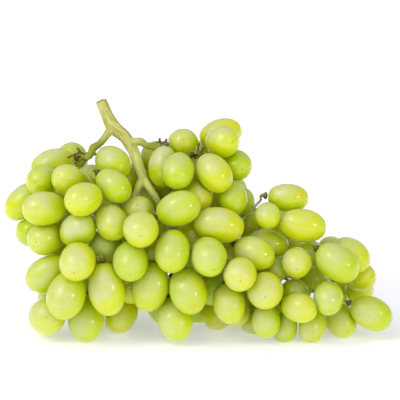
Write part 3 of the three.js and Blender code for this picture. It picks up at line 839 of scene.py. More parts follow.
@dataclass(frozen=True)
class GrapeSkin:
    """The skin of a ripe white table grape, as it grew, with its wax bloom still on it.

    It gives the eye a thin clear gloss over flesh that the light goes into, so that a
    berry glows where light comes through it, and a dull pale film where the wax lies,
    which is laid on thickest on the side that faces the key light: a painted highlight.
    """

    green: str = "#BED604"
    ripe: Paint = Paint("#D6DE02", 0.2, 0.95)
    amber: Paint = Paint("#DAC606", 0.45, 0.8)
    vein: Paint = Paint("#C6CE4A", 0.52, 0.72, 0.35)
    pore: Paint = Paint("#8A7A2C", 0.2, 0.1, 0.45)  # by how far off a pore's middle is
    scar: Paint = Paint("#6E5526", 0.9972, 0.9986, 0.75)  # by the share of the half length
    # The pale colour of the wax, laid on thickest towards the key light as a painted highlight;
    # also the sheen's tint.
    bloom_and_highlight: str = "#D4D6B2"
    flesh_patch: float = 14.29  # this and the other sizes are in millimetres
    own_ripeness: float = 0.75  # how much a berry's own tint and the patches count
    patch_ripeness: float = 0.5
    sun_patch: float = 22.22
    vein_stretch: tuple[float, float, float] = (9.0, 9.0, 1.6)  # noise over a half size
    vein_shift: tuple[float, float, float] = (37.0, 53.0, 71.0)  # so that no two are alike
    film_patch: float = 7.69
    film_levels: tuple[float, float] = (0.34, 0.62)
    film_least: float = 0.35  # how much of the wax is left where it is thinnest
    film_and_highlight_cover: float = 0.82  # how much of the skin's colour the wax and its painted highlight hide
    pore_spacing: float = 1.923  # true pores are finer; these are as coarse as shows
    pore_choice: tuple[float, float] = (0.8, 0.84)  # only the places above this have one
    dimple_size: float = 2.381
    dimple_depth: float = 0.6
    roughness: float = 0.4
    film_roughness: float = 0.3  # what the wax adds

    def material(self) -> bpy.types.Material:
        """Builds the skin's material from the attributes that each berry carries.

        Returns:
            The material.
        """
        material = empty_material("grape_skin")
        tree = material.node_tree
        place = add_node(tree, "ShaderNodeTexCoord").outputs["Object"]
        local = add_node(tree, "ShaderNodeAttribute", attribute_name="local").outputs["Vector"]
        base = self._flesh(tree, place, local)
        # The pale wax colour goes on where the film is thick, most on the side facing the key
        # light: real bloom and a painted highlight. The film also makes the skin rougher.
        film_and_highlight = self._film_and_highlight(tree, place)
        cover = add_node(tree, "ShaderNodeMath", {0: film_and_highlight, 1: self.film_and_highlight_cover},
                         operation="MULTIPLY")
        waxed_and_highlighted = add_node(tree, "ShaderNodeMix", {
            "Factor": cover.outputs["Value"], "A": base, "B": colour(self.bloom_and_highlight)},
            data_type="RGBA")
        base = self._marks(tree, live_output(waxed_and_highlighted, "Result"), place, local)
        rough = add_node(tree, "ShaderNodeMath", {
            0: film_and_highlight, 1: self.film_roughness, 2: self.roughness}, operation="MULTIPLY_ADD")
        relief = add_node(tree, "ShaderNodeTexNoise", {
            "Vector": place, "Scale": scale_of(self.dimple_size), "Detail": 3.0,
            "Roughness": 0.5})
        bump = add_node(tree, "ShaderNodeBump", {
            "Strength": 0.05, "Distance": self.dimple_depth * MM,
            "Height": relief.outputs["Fac"]})
        shader = add_node(tree, "ShaderNodeBsdfPrincipled", {
            "Base Color": base, "Roughness": rough.outputs["Value"],
            "Normal": bump.outputs["Normal"], "IOR": 1.5,
            "Specular IOR Level": 0.25, "Subsurface Weight": 0.75,
            "Subsurface Radius": (1.0, 0.95, 0.08), "Subsurface Scale": 0.018,
            "Coat Weight": 0.9, "Coat Roughness": 0.14,
            "Sheen Weight": 0.08, "Sheen Roughness": 0.3,
            "Sheen Tint": colour(self.bloom_and_highlight)})
        add_node(tree, "ShaderNodeOutputMaterial", {"Surface": shader.outputs["BSDF"]})
        return material

    def _flesh(self, tree: bpy.types.NodeTree, place: bpy.types.NodeSocket,
               local: bpy.types.NodeSocket) -> bpy.types.NodeSocket:
        """Builds the colour that shines through: green and ripe patches, sun and veins.

        Args:
            tree: The material's node tree.
            place: The output with the place on the bunch.
            local: The output with the place on the berry, whose tip is at z of 1.

        Returns:
            The output with the colour.
        """
        tint = add_node(tree, "ShaderNodeAttribute", attribute_name="tint").outputs["Fac"]
        patches = add_node(tree, "ShaderNodeTexNoise", {
            "Vector": place, "Scale": scale_of(self.flesh_patch), "Detail": 2.0,
            "Roughness": 0.5})
        spread = add_node(tree, "ShaderNodeMath", {
            0: patches.outputs["Fac"], 1: self.patch_ripeness}, operation="MULTIPLY")
        ripeness = add_node(tree, "ShaderNodeMath", {
            0: tint, 1: self.own_ripeness, 2: spread.outputs["Value"]},
            operation="MULTIPLY_ADD")
        base = self.ripe.over(tree, colour(self.green), ripeness.outputs["Value"])

        # Sun turns the skin amber on some berries, in soft patches.
        sun = add_node(tree, "ShaderNodeTexNoise", {
            "Vector": place, "Scale": scale_of(self.sun_patch), "Detail": 3.0,
            "Roughness": 0.6})
        blush = add_node(tree, "ShaderNodeAttribute", attribute_name="blush")
        base = self.amber.over(tree, base, sun.outputs["Fac"], blush.outputs["Fac"])

        # Fine pale veins run from the stalk to the tip under the skin.
        stretched = add_node(tree, "ShaderNodeVectorMath", {
            0: local, 1: self.vein_stretch}, operation="MULTIPLY")
        shift = add_node(tree, "ShaderNodeVectorMath", {
            0: self.vein_shift, "Scale": tint}, operation="SCALE")
        shifted = add_node(tree, "ShaderNodeVectorMath", {
            0: stretched.outputs["Vector"], 1: shift.outputs["Vector"]}, operation="ADD")
        veins = add_node(tree, "ShaderNodeTexNoise", {
            "Vector": shifted.outputs["Vector"], "Scale": 1.0, "Detail": 3.0,
            "Roughness": 0.55})
        return self.vein.over(tree, base, veins.outputs["Fac"])

    def _film_and_highlight(self, tree: bpy.types.NodeTree,
              place: bpy.types.NodeSocket) -> bpy.types.NodeSocket:
        """Builds the wax bloom, a thin film that is rubbed off in places, and a painted
        highlight where it lies thickest, towards the key light.

        Args:
            tree: The material's node tree.
            place: The output with the place on the bunch.

        Returns:
            The output that says how thick the film and its painted highlight are, from 0 to 1.
        """
        # The stored wax is partly a painted highlight, most on the side facing the key light.
        wax_and_highlight = add_node(tree, "ShaderNodeAttribute", attribute_name="wax_and_highlight").outputs["Fac"]
        speckle = add_node(tree, "ShaderNodeTexNoise", {
            "Vector": place, "Scale": scale_of(self.film_patch), "Detail": 6.0,
            "Roughness": 0.7})
        thin, thick = self.film_levels
        left = add_node(tree, "ShaderNodeMapRange", {
            "Value": speckle.outputs["Fac"], "From Min": thin, "From Max": thick,
            "To Min": self.film_least}, interpolation_type="SMOOTHSTEP")
        return add_node(tree, "ShaderNodeMath", {0: wax_and_highlight, 1: left.outputs["Result"]},
                        operation="MULTIPLY").outputs["Value"]

    def _marks(self, tree: bpy.types.NodeTree, base: bpy.types.NodeSocket,
               place: bpy.types.NodeSocket, local: bpy.types.NodeSocket
               ) -> bpy.types.NodeSocket:
        """Adds the brown marks: the pores, and the flower's scar at the very tip.

        Args:
            tree: The material's node tree.
            base: The output with the colour under them.
            place: The output with the place on the bunch.
            local: The output with the place on the berry.

        Returns:
            The output with the new colour.
        """
        cells = add_node(tree, "ShaderNodeTexVoronoi", {
            "Vector": place, "Scale": scale_of(self.pore_spacing), "Randomness": 1.0})
        number = add_node(tree, "ShaderNodeSeparateColor", {"Color": cells.outputs["Color"]})
        no_pore, pore = self.pore_choice
        chosen = add_node(tree, "ShaderNodeMapRange", {
            "Value": number.outputs["Red"], "From Min": no_pore, "From Max": pore},
            interpolation_type="SMOOTHSTEP")
        base = self.pore.over(tree, base, cells.outputs["Distance"], chosen.outputs["Result"])
        height = add_node(tree, "ShaderNodeSeparateXYZ", {"Vector": local}).outputs["Z"]
        return self.scar.over(tree, base, height)


@dataclass(frozen=True)
class StemBark:
    """The bark of a bunch's stem, grown green, and dried brown at its ends.

    It gives the eye a matt skin with faint ridges and pale streaks along the limbs, and pale
    forks that are partly painted light.
    """

    young: str = "#B0B032"
    streak: Paint = Paint("#D2D07E", 0.35, 0.62)
    speck: Paint = Paint("#A09A30", 0.5, 0.7, 0.5)
    arm: Paint = Paint("#8E9C12", 0.0, 1.3)  # this and the next by how green a limb is; the next is partly painted light
    # Pale forks and lower peduncle: partly paler bark, partly painted light where the berries
    # shade them.
    pale_and_painted_light: Paint = Paint("#EEF290", 0.0, -1.0)
    dry: Paint = Paint("#66521C", 0.5, 1.0)
    speck_size: float = 1.667  # this and the other sizes are in millimetres
    dry_patch: float = 8.333
    raggedness: float = 0.5  # how far these patches shift the brown's edge
    ridge_depth: float = 0.5
    roughness: float = 0.55

    def material(self) -> bpy.types.Material:
        """Builds the bark's material; where it is brown is stored on the stem's mesh.

        Returns:
            The material.
        """
        material = empty_material("stem_bark")
        tree = material.node_tree
        place = add_node(tree, "ShaderNodeTexCoord").outputs["Object"]
        grain = add_node(tree, "ShaderNodeAttribute", attribute_name="grain").outputs["Vector"]
        streaks = add_node(tree, "ShaderNodeTexNoise", {
            "Vector": grain, "Scale": 1.0, "Detail": 3.0, "Roughness": 0.5}).outputs["Fac"]
        base = self.streak.over(tree, colour(self.young), streaks)
        specks = add_node(tree, "ShaderNodeTexNoise", {
            "Vector": place, "Scale": scale_of(self.speck_size), "Detail": 3.0,
            "Roughness": 0.6})
        base = self.speck.over(tree, base, specks.outputs["Fac"])
        # Darker green on the arms; paler on the forks and the lower peduncle, partly as painted
        # light.
        greenness_and_light = add_node(tree, "ShaderNodeAttribute", attribute_name="greenness_and_light").outputs["Fac"]
        base = self.arm.over(tree, base, greenness_and_light)
        base = self.pale_and_painted_light.over(tree, base, greenness_and_light)

        # The brown of dried wood starts with a ragged edge.
        brown = add_node(tree, "ShaderNodeAttribute", attribute_name="brown").outputs["Fac"]
        patches = add_node(tree, "ShaderNodeTexNoise", {
            "Vector": place, "Scale": scale_of(self.dry_patch), "Detail": 4.0,
            "Roughness": 0.6})
        edge = add_node(tree, "ShaderNodeMath", {
            0: patches.outputs["Fac"], 1: self.raggedness, 2: brown},
            operation="MULTIPLY_ADD")
        base = self.dry.over(tree, base, edge.outputs["Value"])
        bump = add_node(tree, "ShaderNodeBump", {
            "Strength": 0.5, "Distance": self.ridge_depth * MM, "Height": streaks})
        shader = add_node(tree, "ShaderNodeBsdfPrincipled", {
            "Base Color": base, "Roughness": self.roughness,
            "Normal": bump.outputs["Normal"],
            "Subsurface Weight": 0.12, "Subsurface Radius": (1.0, 0.8, 0.3),
            "Subsurface Scale": 0.0015})
        add_node(tree, "ShaderNodeOutputMaterial", {"Surface": shader.outputs["BSDF"]})
        return material


@dataclass
class BerrySkins:
    """The berries' skins, spray by spray, as smooth ellipsoids pressed on each other."""

    layout: BunchLayout
    skin: bpy.types.Material
    segments: int = 40
    rings: int = 28
    seed: int = 7
    sunned: tuple[float, float] = (0.25, 0.3)  # how amber berries are, and how varied
    waves_each: int = 4
    wave_pace: float = 1.6  # how many waves there are round a berry, more or less
    lump: float = 0.16  # how far a skin bulges in and out; all sizes are in millimetres
    egg: float = 0.05  # how much narrower a berry is towards its stalk, as a share
    egg_middle: float = 0.3  # where it keeps its width, as a share of the half length
    tip: tuple[float, float] = (0.3, 1.5)  # how far the tip is drawn in, and how wide
    dip: tuple[float, float] = (0.9, 2.6)  # the same of the dip at the stalk
    softness: float = 0.35  # how gently a skin bends into the flat where it is pressed
    soft_depth: float = 1.5  # how far from the flat the bend begins
    soft_rounds: int = 3
    firm_rounds: int = 4
    # The wax lies most on the side towards the key light, so it is partly a painted highlight.
    # A neighbour on that side takes it away, both as rubbing and as painted shade.
    key_light_way: tuple[float, float, float] = (-0.35, -0.35, 0.55)  # towards the key light, where the painted highlight lies
    outward: float = 0.5  # how much the way out of the bunch counts beside that
    wax_and_highlight_share: float = 0.5  # a berry has from this share of the wax and painted highlight up to all of it
    wax_and_highlight_edge: tuple[float, float] = (0.35, 0.95)  # how far round to the lit side it starts
    rub_and_shade_reach: tuple[float, ...] = (4.0, 12.0, 22.0)  # where a neighbour rubs the wax off and shades the painted highlight
    rub_and_shade_swell: float = 1.1  # how much wider than it is a neighbour counts there
    rub_and_shade_fade: float = 4.0  # over how far the wax and highlight go from none to full beside it
    rub_and_shade_start: float = 0.6  # how much is left where the two would touch

    def __post_init__(self) -> None:
        """Builds the tree that grows berries on points, and draws the berries' colours."""
        self.tree = self._berry_tree()
        numbers = np.random.default_rng(self.seed)
        count = len(self.layout.heap.berries)
        self.tints = numbers.uniform(0.0, 1.0, count)
        self.blushes = np.clip(numbers.normal(*self.sunned, count), 0.0, 1.0)
        self.waves = numbers.normal(0.0, 1.0, (count, self.waves_each, 3))
        self.phases = numbers.uniform(0.0, 2 * math.pi, (count, self.waves_each))

    @staticmethod
    def _berry_tree() -> bpy.types.NodeTree:
        """Builds the tree that sets an ellipsoid on each point, along the point's axis.

        Returns:
            The tree.
        """
        tree = tree_with_inputs("berries_on_points", {
            "Segments": "NodeSocketInt", "Rings": "NodeSocketInt",
            "Skin": "NodeSocketMaterial"})
        entry = add_node(tree, "NodeGroupInput").outputs
        sphere = add_node(tree, "GeometryNodeMeshUVSphere", {
            "Segments": entry["Segments"], "Rings": entry["Rings"], "Radius": 1.0})
        place = add_node(tree, "GeometryNodeInputPosition").outputs["Position"]
        marked = add_node(tree, "GeometryNodeStoreNamedAttribute", {
            "Geometry": sphere.outputs["Mesh"], "Name": "local", "Value": place},
            data_type="FLOAT_VECTOR").outputs["Geometry"]
        sizes = add_node(tree, "GeometryNodeInputNamedAttribute", {"Name": "half_sizes"},
                         data_type="FLOAT_VECTOR")
        berries = turned_on_points(tree, entry["Geometry"], marked,
                                   live_output(sizes, "Attribute"))
        finish_tree(tree, berries, entry["Skin"])
        return tree

    def build(self) -> list[bpy.types.Object]:
        """Builds one piece for each spray.

        Returns:
            The pieces.
        """
        pieces = []
        for spray in SPRAYS:
            numbers = [index for index, berry in enumerate(self.layout.heap.berries)
                       if berry.spray == spray]
            mesh = self._grow(spray, numbers)
            self._shape(mesh, numbers)
            pieces.append(add_piece(f"skins_{spray}", mesh, Finish.BERRIES, f"berries_{spray}"))
        return pieces

    def _grow(self, spray: str, numbers: list[int]) -> bpy.types.Mesh:
        """Grows the plain ellipsoids of a spray.

        Args:
            spray: The spray's name.
            numbers: Which berries of the heap are in it.

        Returns:
            Their mesh, with each berry's own numbers stored on its vertices.
        """
        berries = [self.layout.heap.berries[number] for number in numbers]
        seeds = bpy.data.meshes.new(spray + "_points")
        seeds.from_pydata([in_metres(berry.centre) for berry in berries], [], [])
        point_attribute(seeds, "axis", np.array([berry.axis for berry in berries]))
        point_attribute(seeds, "half_sizes", np.array([
            (berry.half_width, berry.half_width, berry.half_length)
            for berry in berries]) * MM)
        point_attribute(seeds, "tint", self.tints[numbers])
        point_attribute(seeds, "blush", self.blushes[numbers])
        point_attribute(seeds, "order", np.arange(len(numbers), dtype=float))
        return grown("skins_" + spray, seeds, self.tree, {
            "Segments": self.segments, "Rings": self.rings, "Skin": self.skin})

    def _shape(self, mesh: bpy.types.Mesh, numbers: list[int]) -> None:
        """Gives each berry its lumps and dimples, then presses it on its neighbours.

        Args:
            mesh: The spray's mesh.
            numbers: Which berries of the heap are in it.
        """
        places = positions(mesh)
        # The wax also carries a painted highlight on the side facing the key light.
        wax_and_highlight = np.zeros(len(places))
        order = np.empty(len(mesh.vertices), np.float32)
        mesh.attributes["order"].data.foreach_get("value", order)
        for turn, number in enumerate(numbers):
            own = np.flatnonzero(np.rint(order) == turn)
            wax_and_highlight[own] = self._wax_and_highlight(number, places[own])
            places[own] = self._pressed(number, self._grown_skin(number, places[own]))
        set_positions(mesh, places)
        mesh.attributes.remove(mesh.attributes["order"])
        point_attribute(mesh, "wax_and_highlight", wax_and_highlight)

    def _wax_and_highlight(self, number: int, skin: np.ndarray) -> np.ndarray:
        """Finds how much wax and painted highlight a berry has: most on the side facing the key
        light.

        Args:
            number: Which berry of the heap it is.
            skin: The vertices of the berry, still a plain ellipsoid.

        Returns:
            For each vertex a number from 0, where the berries rub or shade that side, to 1.
        """
        heap = self.layout.heap
        berry = heap.berries[number]
        outwards = berry.centre - self.layout.body_middle(berry.centre[0])
        open_and_lit_side = outwards / lengths_of(outwards) * self.outward + self.key_light_way
        open_and_lit_side /= lengths_of(open_and_lit_side)
        ways = skin - berry.centre
        ways /= lengths_of(ways)[:, None]
        start, full = self.wax_and_highlight_edge
        share = np.clip((ways @ open_and_lit_side - start) / (full - start), 0.0, 1.0)
        own_share = (self.tints[number] * 7.3) % 1.0  # unlike the tint, though drawn with it
        amount = self.wax_and_highlight_share + (1 - self.wax_and_highlight_share) * own_share
        wax_and_highlight = amount * share * share * (3 - 2 * share)
        others = np.flatnonzero(np.arange(len(heap.berries)) != number)
        # A neighbour on the lit side takes the wax away: rubbing, and painted shade over the
        # highlight.
        for ahead in self.rub_and_shade_reach:
            probe = skin + open_and_lit_side * ahead
            room = (lengths_of(probe[:, None, :] - heap.centres[others])
                    - heap.half_widths[others] * self.rub_and_shade_swell)
            wax_and_highlight *= np.clip(room.min(axis=1) / self.rub_and_shade_fade + self.rub_and_shade_start, 0.0, 1.0)
        return wax_and_highlight

    def _grown_skin(self, number: int, skin: np.ndarray) -> np.ndarray:
        """Makes a berry a little lumpy and egg-shaped, with its tip and its stalk's dip.

        Args:
            number: Which berry of the heap it is.
            skin: The vertices of the berry, a plain ellipsoid.

        Returns:
            The vertices where they are then.
        """
        berry = self.layout.heap.berries[number]
        spokes = skin - berry.centre
        ways = spokes / lengths_of(spokes)[:, None]
        along = spokes @ berry.axis / berry.half_length
        bulge = np.zeros(len(skin))
        for wave, phase in zip(self.waves[number], self.phases[number]):
            bulge += np.sin(ways @ wave * self.wave_pace + phase)
        bulge *= self.lump / math.sqrt(self.waves_each)
        sideways = spokes - np.outer(along * berry.half_length, berry.axis)
        across = lengths_of(sideways)
        tip_depth, tip_width = self.tip
        dip_depth, dip_width = self.dip
        tip = tip_depth * np.exp(-(across / tip_width) ** 2) * (along > 0)
        dip = dip_depth * np.exp(-(across / dip_width) ** 2) * (along < 0)
        skin = skin + sideways * (self.egg * (along - self.egg_middle))[:, None]
        return skin + ways * bulge[:, None] + np.outer(dip - tip, berry.axis)

    def _pressed(self, number: int, skin: np.ndarray) -> np.ndarray:
        """Presses a berry flat where it meets its neighbours and the surface.

        Args:
            number: Which berry of the heap it is.
            skin: The vertices of the berry.

        Returns:
            The vertices, all behind the planes that the berry shares.
        """
        normals, levels = self.layout.limits(self.layout.heap.berries[number])
        for _ in range(self.soft_rounds):
            for normal, level in zip(normals, levels):
                over = skin @ normal - level
                back = (over + np.sqrt(over**2 + self.softness**2)) / 2
                back = np.where(over > -self.soft_depth, back, 0.0)
                skin = skin - np.outer(back, normal)
        for _ in range(self.firm_rounds):
            for normal, level in zip(normals, levels):
                over = np.maximum(0.0, skin @ normal - level)
                skin = skin - np.outer(over, normal)
        return skin


@dataclass
class Stem:
    """The stem of the bunch, smooth and round over the CAD's own faceted stem."""

    layout: BunchLayout
    bark: bpy.types.Material
    voxel: float = 0.45  # all sizes are in millimetres
    tube_sides: int = 16
    tube_steps: int = 8  # between two knots of a limb
    line_steps: int = 64  # how finely a ridged limb is measured
    cap_radius: float = 2.1
    cap_height: float = 1.1
    cap_stand: float = 0.6  # how far outside its berry a cap has its middle
    cap_reach: float = 3.2  # a stalk that ends this close to a berry holds it
    smooth_share: float = 0.5
    smooth_rounds: int = 5
    plump: float = 0.12  # what melting and smoothing take off a limb
    ridge: float = 0.14  # how far the lengthwise ridges of a limb stand out
    ridge_radius: float = 3.0  # of a limb whose ridges stand out as far as that
    ridges: tuple[int, int] = (5, 3)  # how many fine and how many broad ones go round
    winding: tuple[float, float] = (0.5, 8.0)  # of the fine: how far round, and how fast
    broad: tuple[float, float] = (0.7, 1.3)  # the broad ones' height, and where they start
    bare_radius: float = 1.3  # a limb thinner than this has no ridges
    # How fast the bark's colour changes: round a limb, along it, and any way elsewhere.
    streaks: tuple[float, float, float] = (2.4, 0.11, 0.5)
    thinned: float = 0.45  # how much of its width a dried twig has lost
    cap_brown: tuple[float, float] = (0.85, 4.2)  # how brown it is there, and how far
    cut_brown: float = 0.9
    cut_width: float = 8.0
    # Each of these goes over into what is beyond it, from the first distance to the second.
    ridge_edge: tuple[float, float] = (0.8, 1.6)  # of the ridges, outside a limb's radius
    twig_edge: tuple[float, float] = (1.4, 2.6)  # of the dry bark, from a twig's middle
    limb_edge: tuple[float, float] = (2.0, 3.0)  # of the green, from another limb's middle
    cut_edge: tuple[float, float] = (0.45, 0.9)  # of the brown, below the cut

    def build(self) -> bpy.types.Object:
        """Builds the stem.

        Returns:
            Its one piece.
        """
        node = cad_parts["stem"]
        merged = bmesh.new()
        merged.from_mesh(node.data)
        bmesh.ops.remove_doubles(merged, verts=merged.verts, dist=1e-6)
        corners = np.array([vertex.co[:] for vertex in merged.verts]) / MM + BUNCH_CENTRE
        held = self._held_berries(corners)
        merged.from_mesh(self._limbs())
        merged.from_mesh(self._caps(held))
        rough = bpy.data.meshes.new("stem_rough")
        merged.to_mesh(rough)
        merged.free()
        mesh = self._smoothed(rough)
        self._mark_brown(mesh, held)
        mesh.materials.clear()
        mesh.materials.append(self.bark)
        LOG.info("stem: %d berries hang on a stalk that is drawn", len(held))
        return add_piece("grown_stem", mesh, Finish.STEM, "stem")

    def _held_berries(self, corners: np.ndarray) -> list[Berry]:
        """Finds the berries whose stalk the CAD stem draws.

        Args:
            corners: The CAD stem's vertices, in the layout's millimetres.

        Returns:
            Those berries.
        """
        held = []
        for berry in self.layout.heap.berries:
            root = berry.stem_end() - berry.axis  # a millimetre outside the berry
            if lengths_of(corners - root).min() < self.cap_reach:
                held.append(berry)
        return held

    def _caps(self, held: list[Berry]) -> bpy.types.Mesh:
        """Grows the round swollen end of each stalk, where it holds its berry.

        Args:
            held: The berries on stalks.

        Returns:
            One mesh with all the swollen ends.
        """
        tree = tree_with_inputs("caps_on_points", {
            "Radius": "NodeSocketFloat", "Height": "NodeSocketFloat",
            "Bark": "NodeSocketMaterial"})
        entry = add_node(tree, "NodeGroupInput").outputs
        sphere = add_node(tree, "GeometryNodeMeshUVSphere", {
            "Segments": 14, "Rings": 8, "Radius": 1.0})
        size = add_node(tree, "ShaderNodeCombineXYZ", {
            "X": entry["Radius"], "Y": entry["Radius"], "Z": entry["Height"]})
        caps = turned_on_points(tree, entry["Geometry"], sphere.outputs["Mesh"],
                                size.outputs["Vector"])
        finish_tree(tree, caps, entry["Bark"])
        seeds = bpy.data.meshes.new("cap_points")
        seeds.from_pydata([in_metres(berry.stem_end() - berry.axis * self.cap_stand)
                           for berry in held], [], [])
        point_attribute(seeds, "axis", np.array([berry.axis for berry in held]))
        return grown("caps", seeds, tree, {
            "Radius": self.cap_radius * MM, "Height": self.cap_height * MM, "Bark": self.bark})

    def _limbs(self) -> bpy.types.Mesh:
        """Grows the bare limbs as round smooth tubes along their knots.

        Returns:
            One mesh with all the tubes.
        """
        tree = tree_with_inputs("tubes_on_curves", {
            "Sides": "NodeSocketInt", "Bark": "NodeSocketMaterial"})
        entry = add_node(tree, "NodeGroupInput").outputs
        ring = add_node(tree, "GeometryNodeCurvePrimitiveCircle", {
            "Resolution": entry["Sides"], "Radius": 1.0})
        width = add_node(tree, "GeometryNodeInputRadius").outputs["Radius"]
        tube = add_node(tree, "GeometryNodeCurveToMesh", {
            "Curve": entry["Geometry"], "Profile Curve": ring.outputs["Curve"],
            "Scale": width, "Fill Caps": True})
        finish_tree(tree, tube.outputs["Mesh"], entry["Bark"])
        curve = bpy.data.curves.new("limb_lines", "CURVE")
        curve.dimensions = "3D"
        curve.resolution_u = self.tube_steps
        for knots in LIMBS.values():
            line = curve.splines.new("BEZIER")
            line.bezier_points.add(len(knots) - 1)
            for knot, (u, v, w, radius) in zip(line.bezier_points, knots):
                knot.co = in_metres(sight_point(u, v, w))
                knot.radius = radius * MM
                knot.handle_left_type = knot.handle_right_type = "AUTO"
        return grown("limbs", curve, tree, {"Sides": self.tube_sides, "Bark": self.bark})

    def _smoothed(self, rough: bpy.types.Mesh) -> bpy.types.Mesh:
        """Melts the parts of the stem into one smooth skin.

        Args:
            rough: The CAD stem, the limbs and the caps, all overlapping.

        Returns:
            One closed mesh of even small faces.
        """
        blob = bpy.data.objects.new("stem_blob", rough)
        bpy.context.scene.collection.objects.link(blob)
        melt = blob.modifiers.new("melt", "REMESH")
        melt.mode = "VOXEL"
        melt.voxel_size = self.voxel * MM
        smooth = blob.modifiers.new("smooth", "SMOOTH")
        smooth.factor, smooth.iterations = self.smooth_share, self.smooth_rounds
        evaluated = blob.evaluated_get(bpy.context.evaluated_depsgraph_get())
        mesh = bpy.data.meshes.new_from_object(evaluated)
        bpy.data.objects.remove(blob)
        mesh.name = "grown_stem"
        normals = np.empty(len(mesh.vertices) * 3, np.float32)
        mesh.vertices.foreach_get("normal", normals)
        places = positions(mesh)
        grain, ridge, greenness_and_light = self._grain(places)
        places += normals.reshape(-1, 3) * (self.plump + self.ridge * ridge)[:, None]
        dryness, spokes = self._dryness(places)
        places -= spokes * (self.thinned * dryness)[:, None]
        places[:, 2] = np.maximum(places[:, 2], 0.0)
        set_positions(mesh, places)
        point_attribute(mesh, "grain", grain)
        point_attribute(mesh, "greenness_and_light", greenness_and_light)
        return mesh

    def _grain(self, places: np.ndarray) -> tuple[np.ndarray, np.ndarray, np.ndarray]:
        """Finds how the bark's ridges run at some places on the stem.

        Args:
            places: The places, in the layout's millimetres.

        Returns:
            A vector for each place that changes fast across its limb and slowly along
            it, how far a ridge stands out there, and how green the limb is, with the painted
            light that makes its pale parts paler.
        """
        lines = zip(*(self._limb_line(limb) for limb in LIMB_GREENS_AND_LIGHT))
        middles, frames, lengths, radii, greens_and_light = (np.concatenate(rows) for rows in lines)
        tree = kdtree.KDTree(len(middles))
        for number, middle in enumerate(middles):
            tree.insert(middle, number)
        tree.balance()
        nearest = [tree.find(place)[1:] for place in places]
        index = np.array([number for number, _ in nearest])
        distance = np.array([away for _, away in nearest])
        lengths, radii = lengths[index], radii[index]
        across = np.einsum("nij,nj->ni", frames[index], places - middles[index])
        angle = np.arctan2(across[:, 1], across[:, 0])
        on_limb = np.interp(distance - radii, self.ridge_edge, (1.0, 0.0))
        on_limb *= radii > self.bare_radius

        # The fine ridges wind a little along the limb, and the broad ones run straight.
        fine_count, broad_count = self.ridges
        sway, pace = self.winding
        height, start = self.broad
        ridge = (np.cos(fine_count * angle + sway * np.sin(lengths / pace))
                 + height * np.cos(broad_count * angle + start))
        across_scale, along_scale, plain_scale = self.streaks
        grain = np.column_stack([np.cos(angle) * across_scale, np.sin(angle) * across_scale,
                                 lengths * along_scale])
        grain = np.where(on_limb[:, None] > 0, grain, places * plain_scale)
        return grain, ridge * radii / self.ridge_radius * on_limb, greens_and_light[index] * on_limb

    def _limb_line(self, limb: str) -> tuple[np.ndarray, ...]:
        """Measures a limb at even steps along it.

        Args:
            limb: The limb's name.

        Returns:
            For each step the limb's middle, two ways across it, how far along it that
            is, its radius, and how green it is, with the painted light on its pale parts.
        """
        knots = np.array([[*sight_point(u, v, w), radius] for u, v, w, radius in LIMBS[limb]])
        steps = np.linspace(0, len(knots) - 1, self.line_steps)
        line = np.column_stack([np.interp(steps, np.arange(len(knots)), column)
                                for column in knots.T])
        middles, radii = line[:, :3], line[:, 3]
        ways = np.gradient(middles, axis=0)
        ways /= lengths_of(ways)[:, None]
        side = np.cross(ways, UP + 0.01)  # a little off, so that it can't be the limb's way
        side /= lengths_of(side)[:, None]
        across = np.stack([side, np.cross(ways, side)], axis=1)
        along = np.append(0.0, np.cumsum(lengths_of(np.diff(middles, axis=0))))
        return middles, across, along, radii, np.interp(along, *LIMB_GREENS_AND_LIGHT[limb])

    def _dryness(self, places: np.ndarray) -> tuple[np.ndarray, np.ndarray]:
        """Finds the dried twigs that some places of the stem are on.

        Args:
            places: The places, in the layout's millimetres.

        Returns:
            How dry each place is, from 0 to 1, and the way to it from the twig's middle.
        """
        nearest = np.full(len(places), np.inf)
        from_limb = np.full(len(places), np.inf)
        spokes = np.zeros_like(places)
        for name, limb in LIMBS.items():
            knots = np.array([sight_point(*knot[:3]) for knot in limb])
            for start, end in zip(knots, knots[1:]):
                leg = end - start
                share = np.clip((places - start) @ leg / (leg @ leg), 0.0, 1.0)
                away = places - start - np.outer(share, leg)
                distance = lengths_of(away)
                if "twig" not in name:
                    from_limb = np.minimum(from_limb, distance)
                    continue
                spokes = np.where((distance < nearest)[:, None], away, spokes)
                nearest = np.minimum(nearest, distance)
        dryness = (np.interp(nearest, self.twig_edge, (1.0, 0.0))
                   * np.interp(from_limb, self.limb_edge, (0.0, 1.0)))
        return dryness, spokes

    def _mark_brown(self, mesh: bpy.types.Mesh, held: list[Berry]) -> None:
        """Stores how brown the stem is: at its cut, its bare ends and its caps.

        Args:
            mesh: The stem's mesh.
            held: The berries on stalks.
        """
        places = positions(mesh)
        brown = self._dryness(places)[0]
        strength, reach = self.cap_brown
        for berry in held:
            distance = lengths_of(places - berry.stem_end())
            brown = np.maximum(brown, strength * np.exp(-(distance / reach) ** 2))
        cut, below = (sight_point(*knot[:3]) for knot in LIMBS["peduncle"][:2])
        depth = (places - cut) @ (below - cut) / lengths_of(below - cut)
        at_cut = np.interp(depth, self.cut_edge, (self.cut_brown, 0.0))
        at_cut *= lengths_of(places - cut) < self.cut_width
        point_attribute(mesh, "brown", np.maximum(brown, at_cut))


@dataclass(frozen=True)
class Lamp:
    """A soft square light that looks at the bunch, with its place and side in metres."""

    name: str
    place: tuple[float, float, float]
    power: float  # in watts
    side: float
    looks_at: tuple[float, float, float] = (0.0, 0.0, 0.05)

    def build(self) -> None:
        """Hangs the lamp in the scene."""
        light = bpy.data.lights.new(self.name, "AREA")
        light.energy, light.size = self.power, self.side
        lamp = bpy.data.objects.new(self.name, light)
        lamp.location = self.place
        aim = Vector(self.looks_at) - Vector(self.place)
        lamp.rotation_euler = aim.to_track_quat("-Z", "Y").to_euler()
        bpy.context.scene.collection.objects.link(lamp)


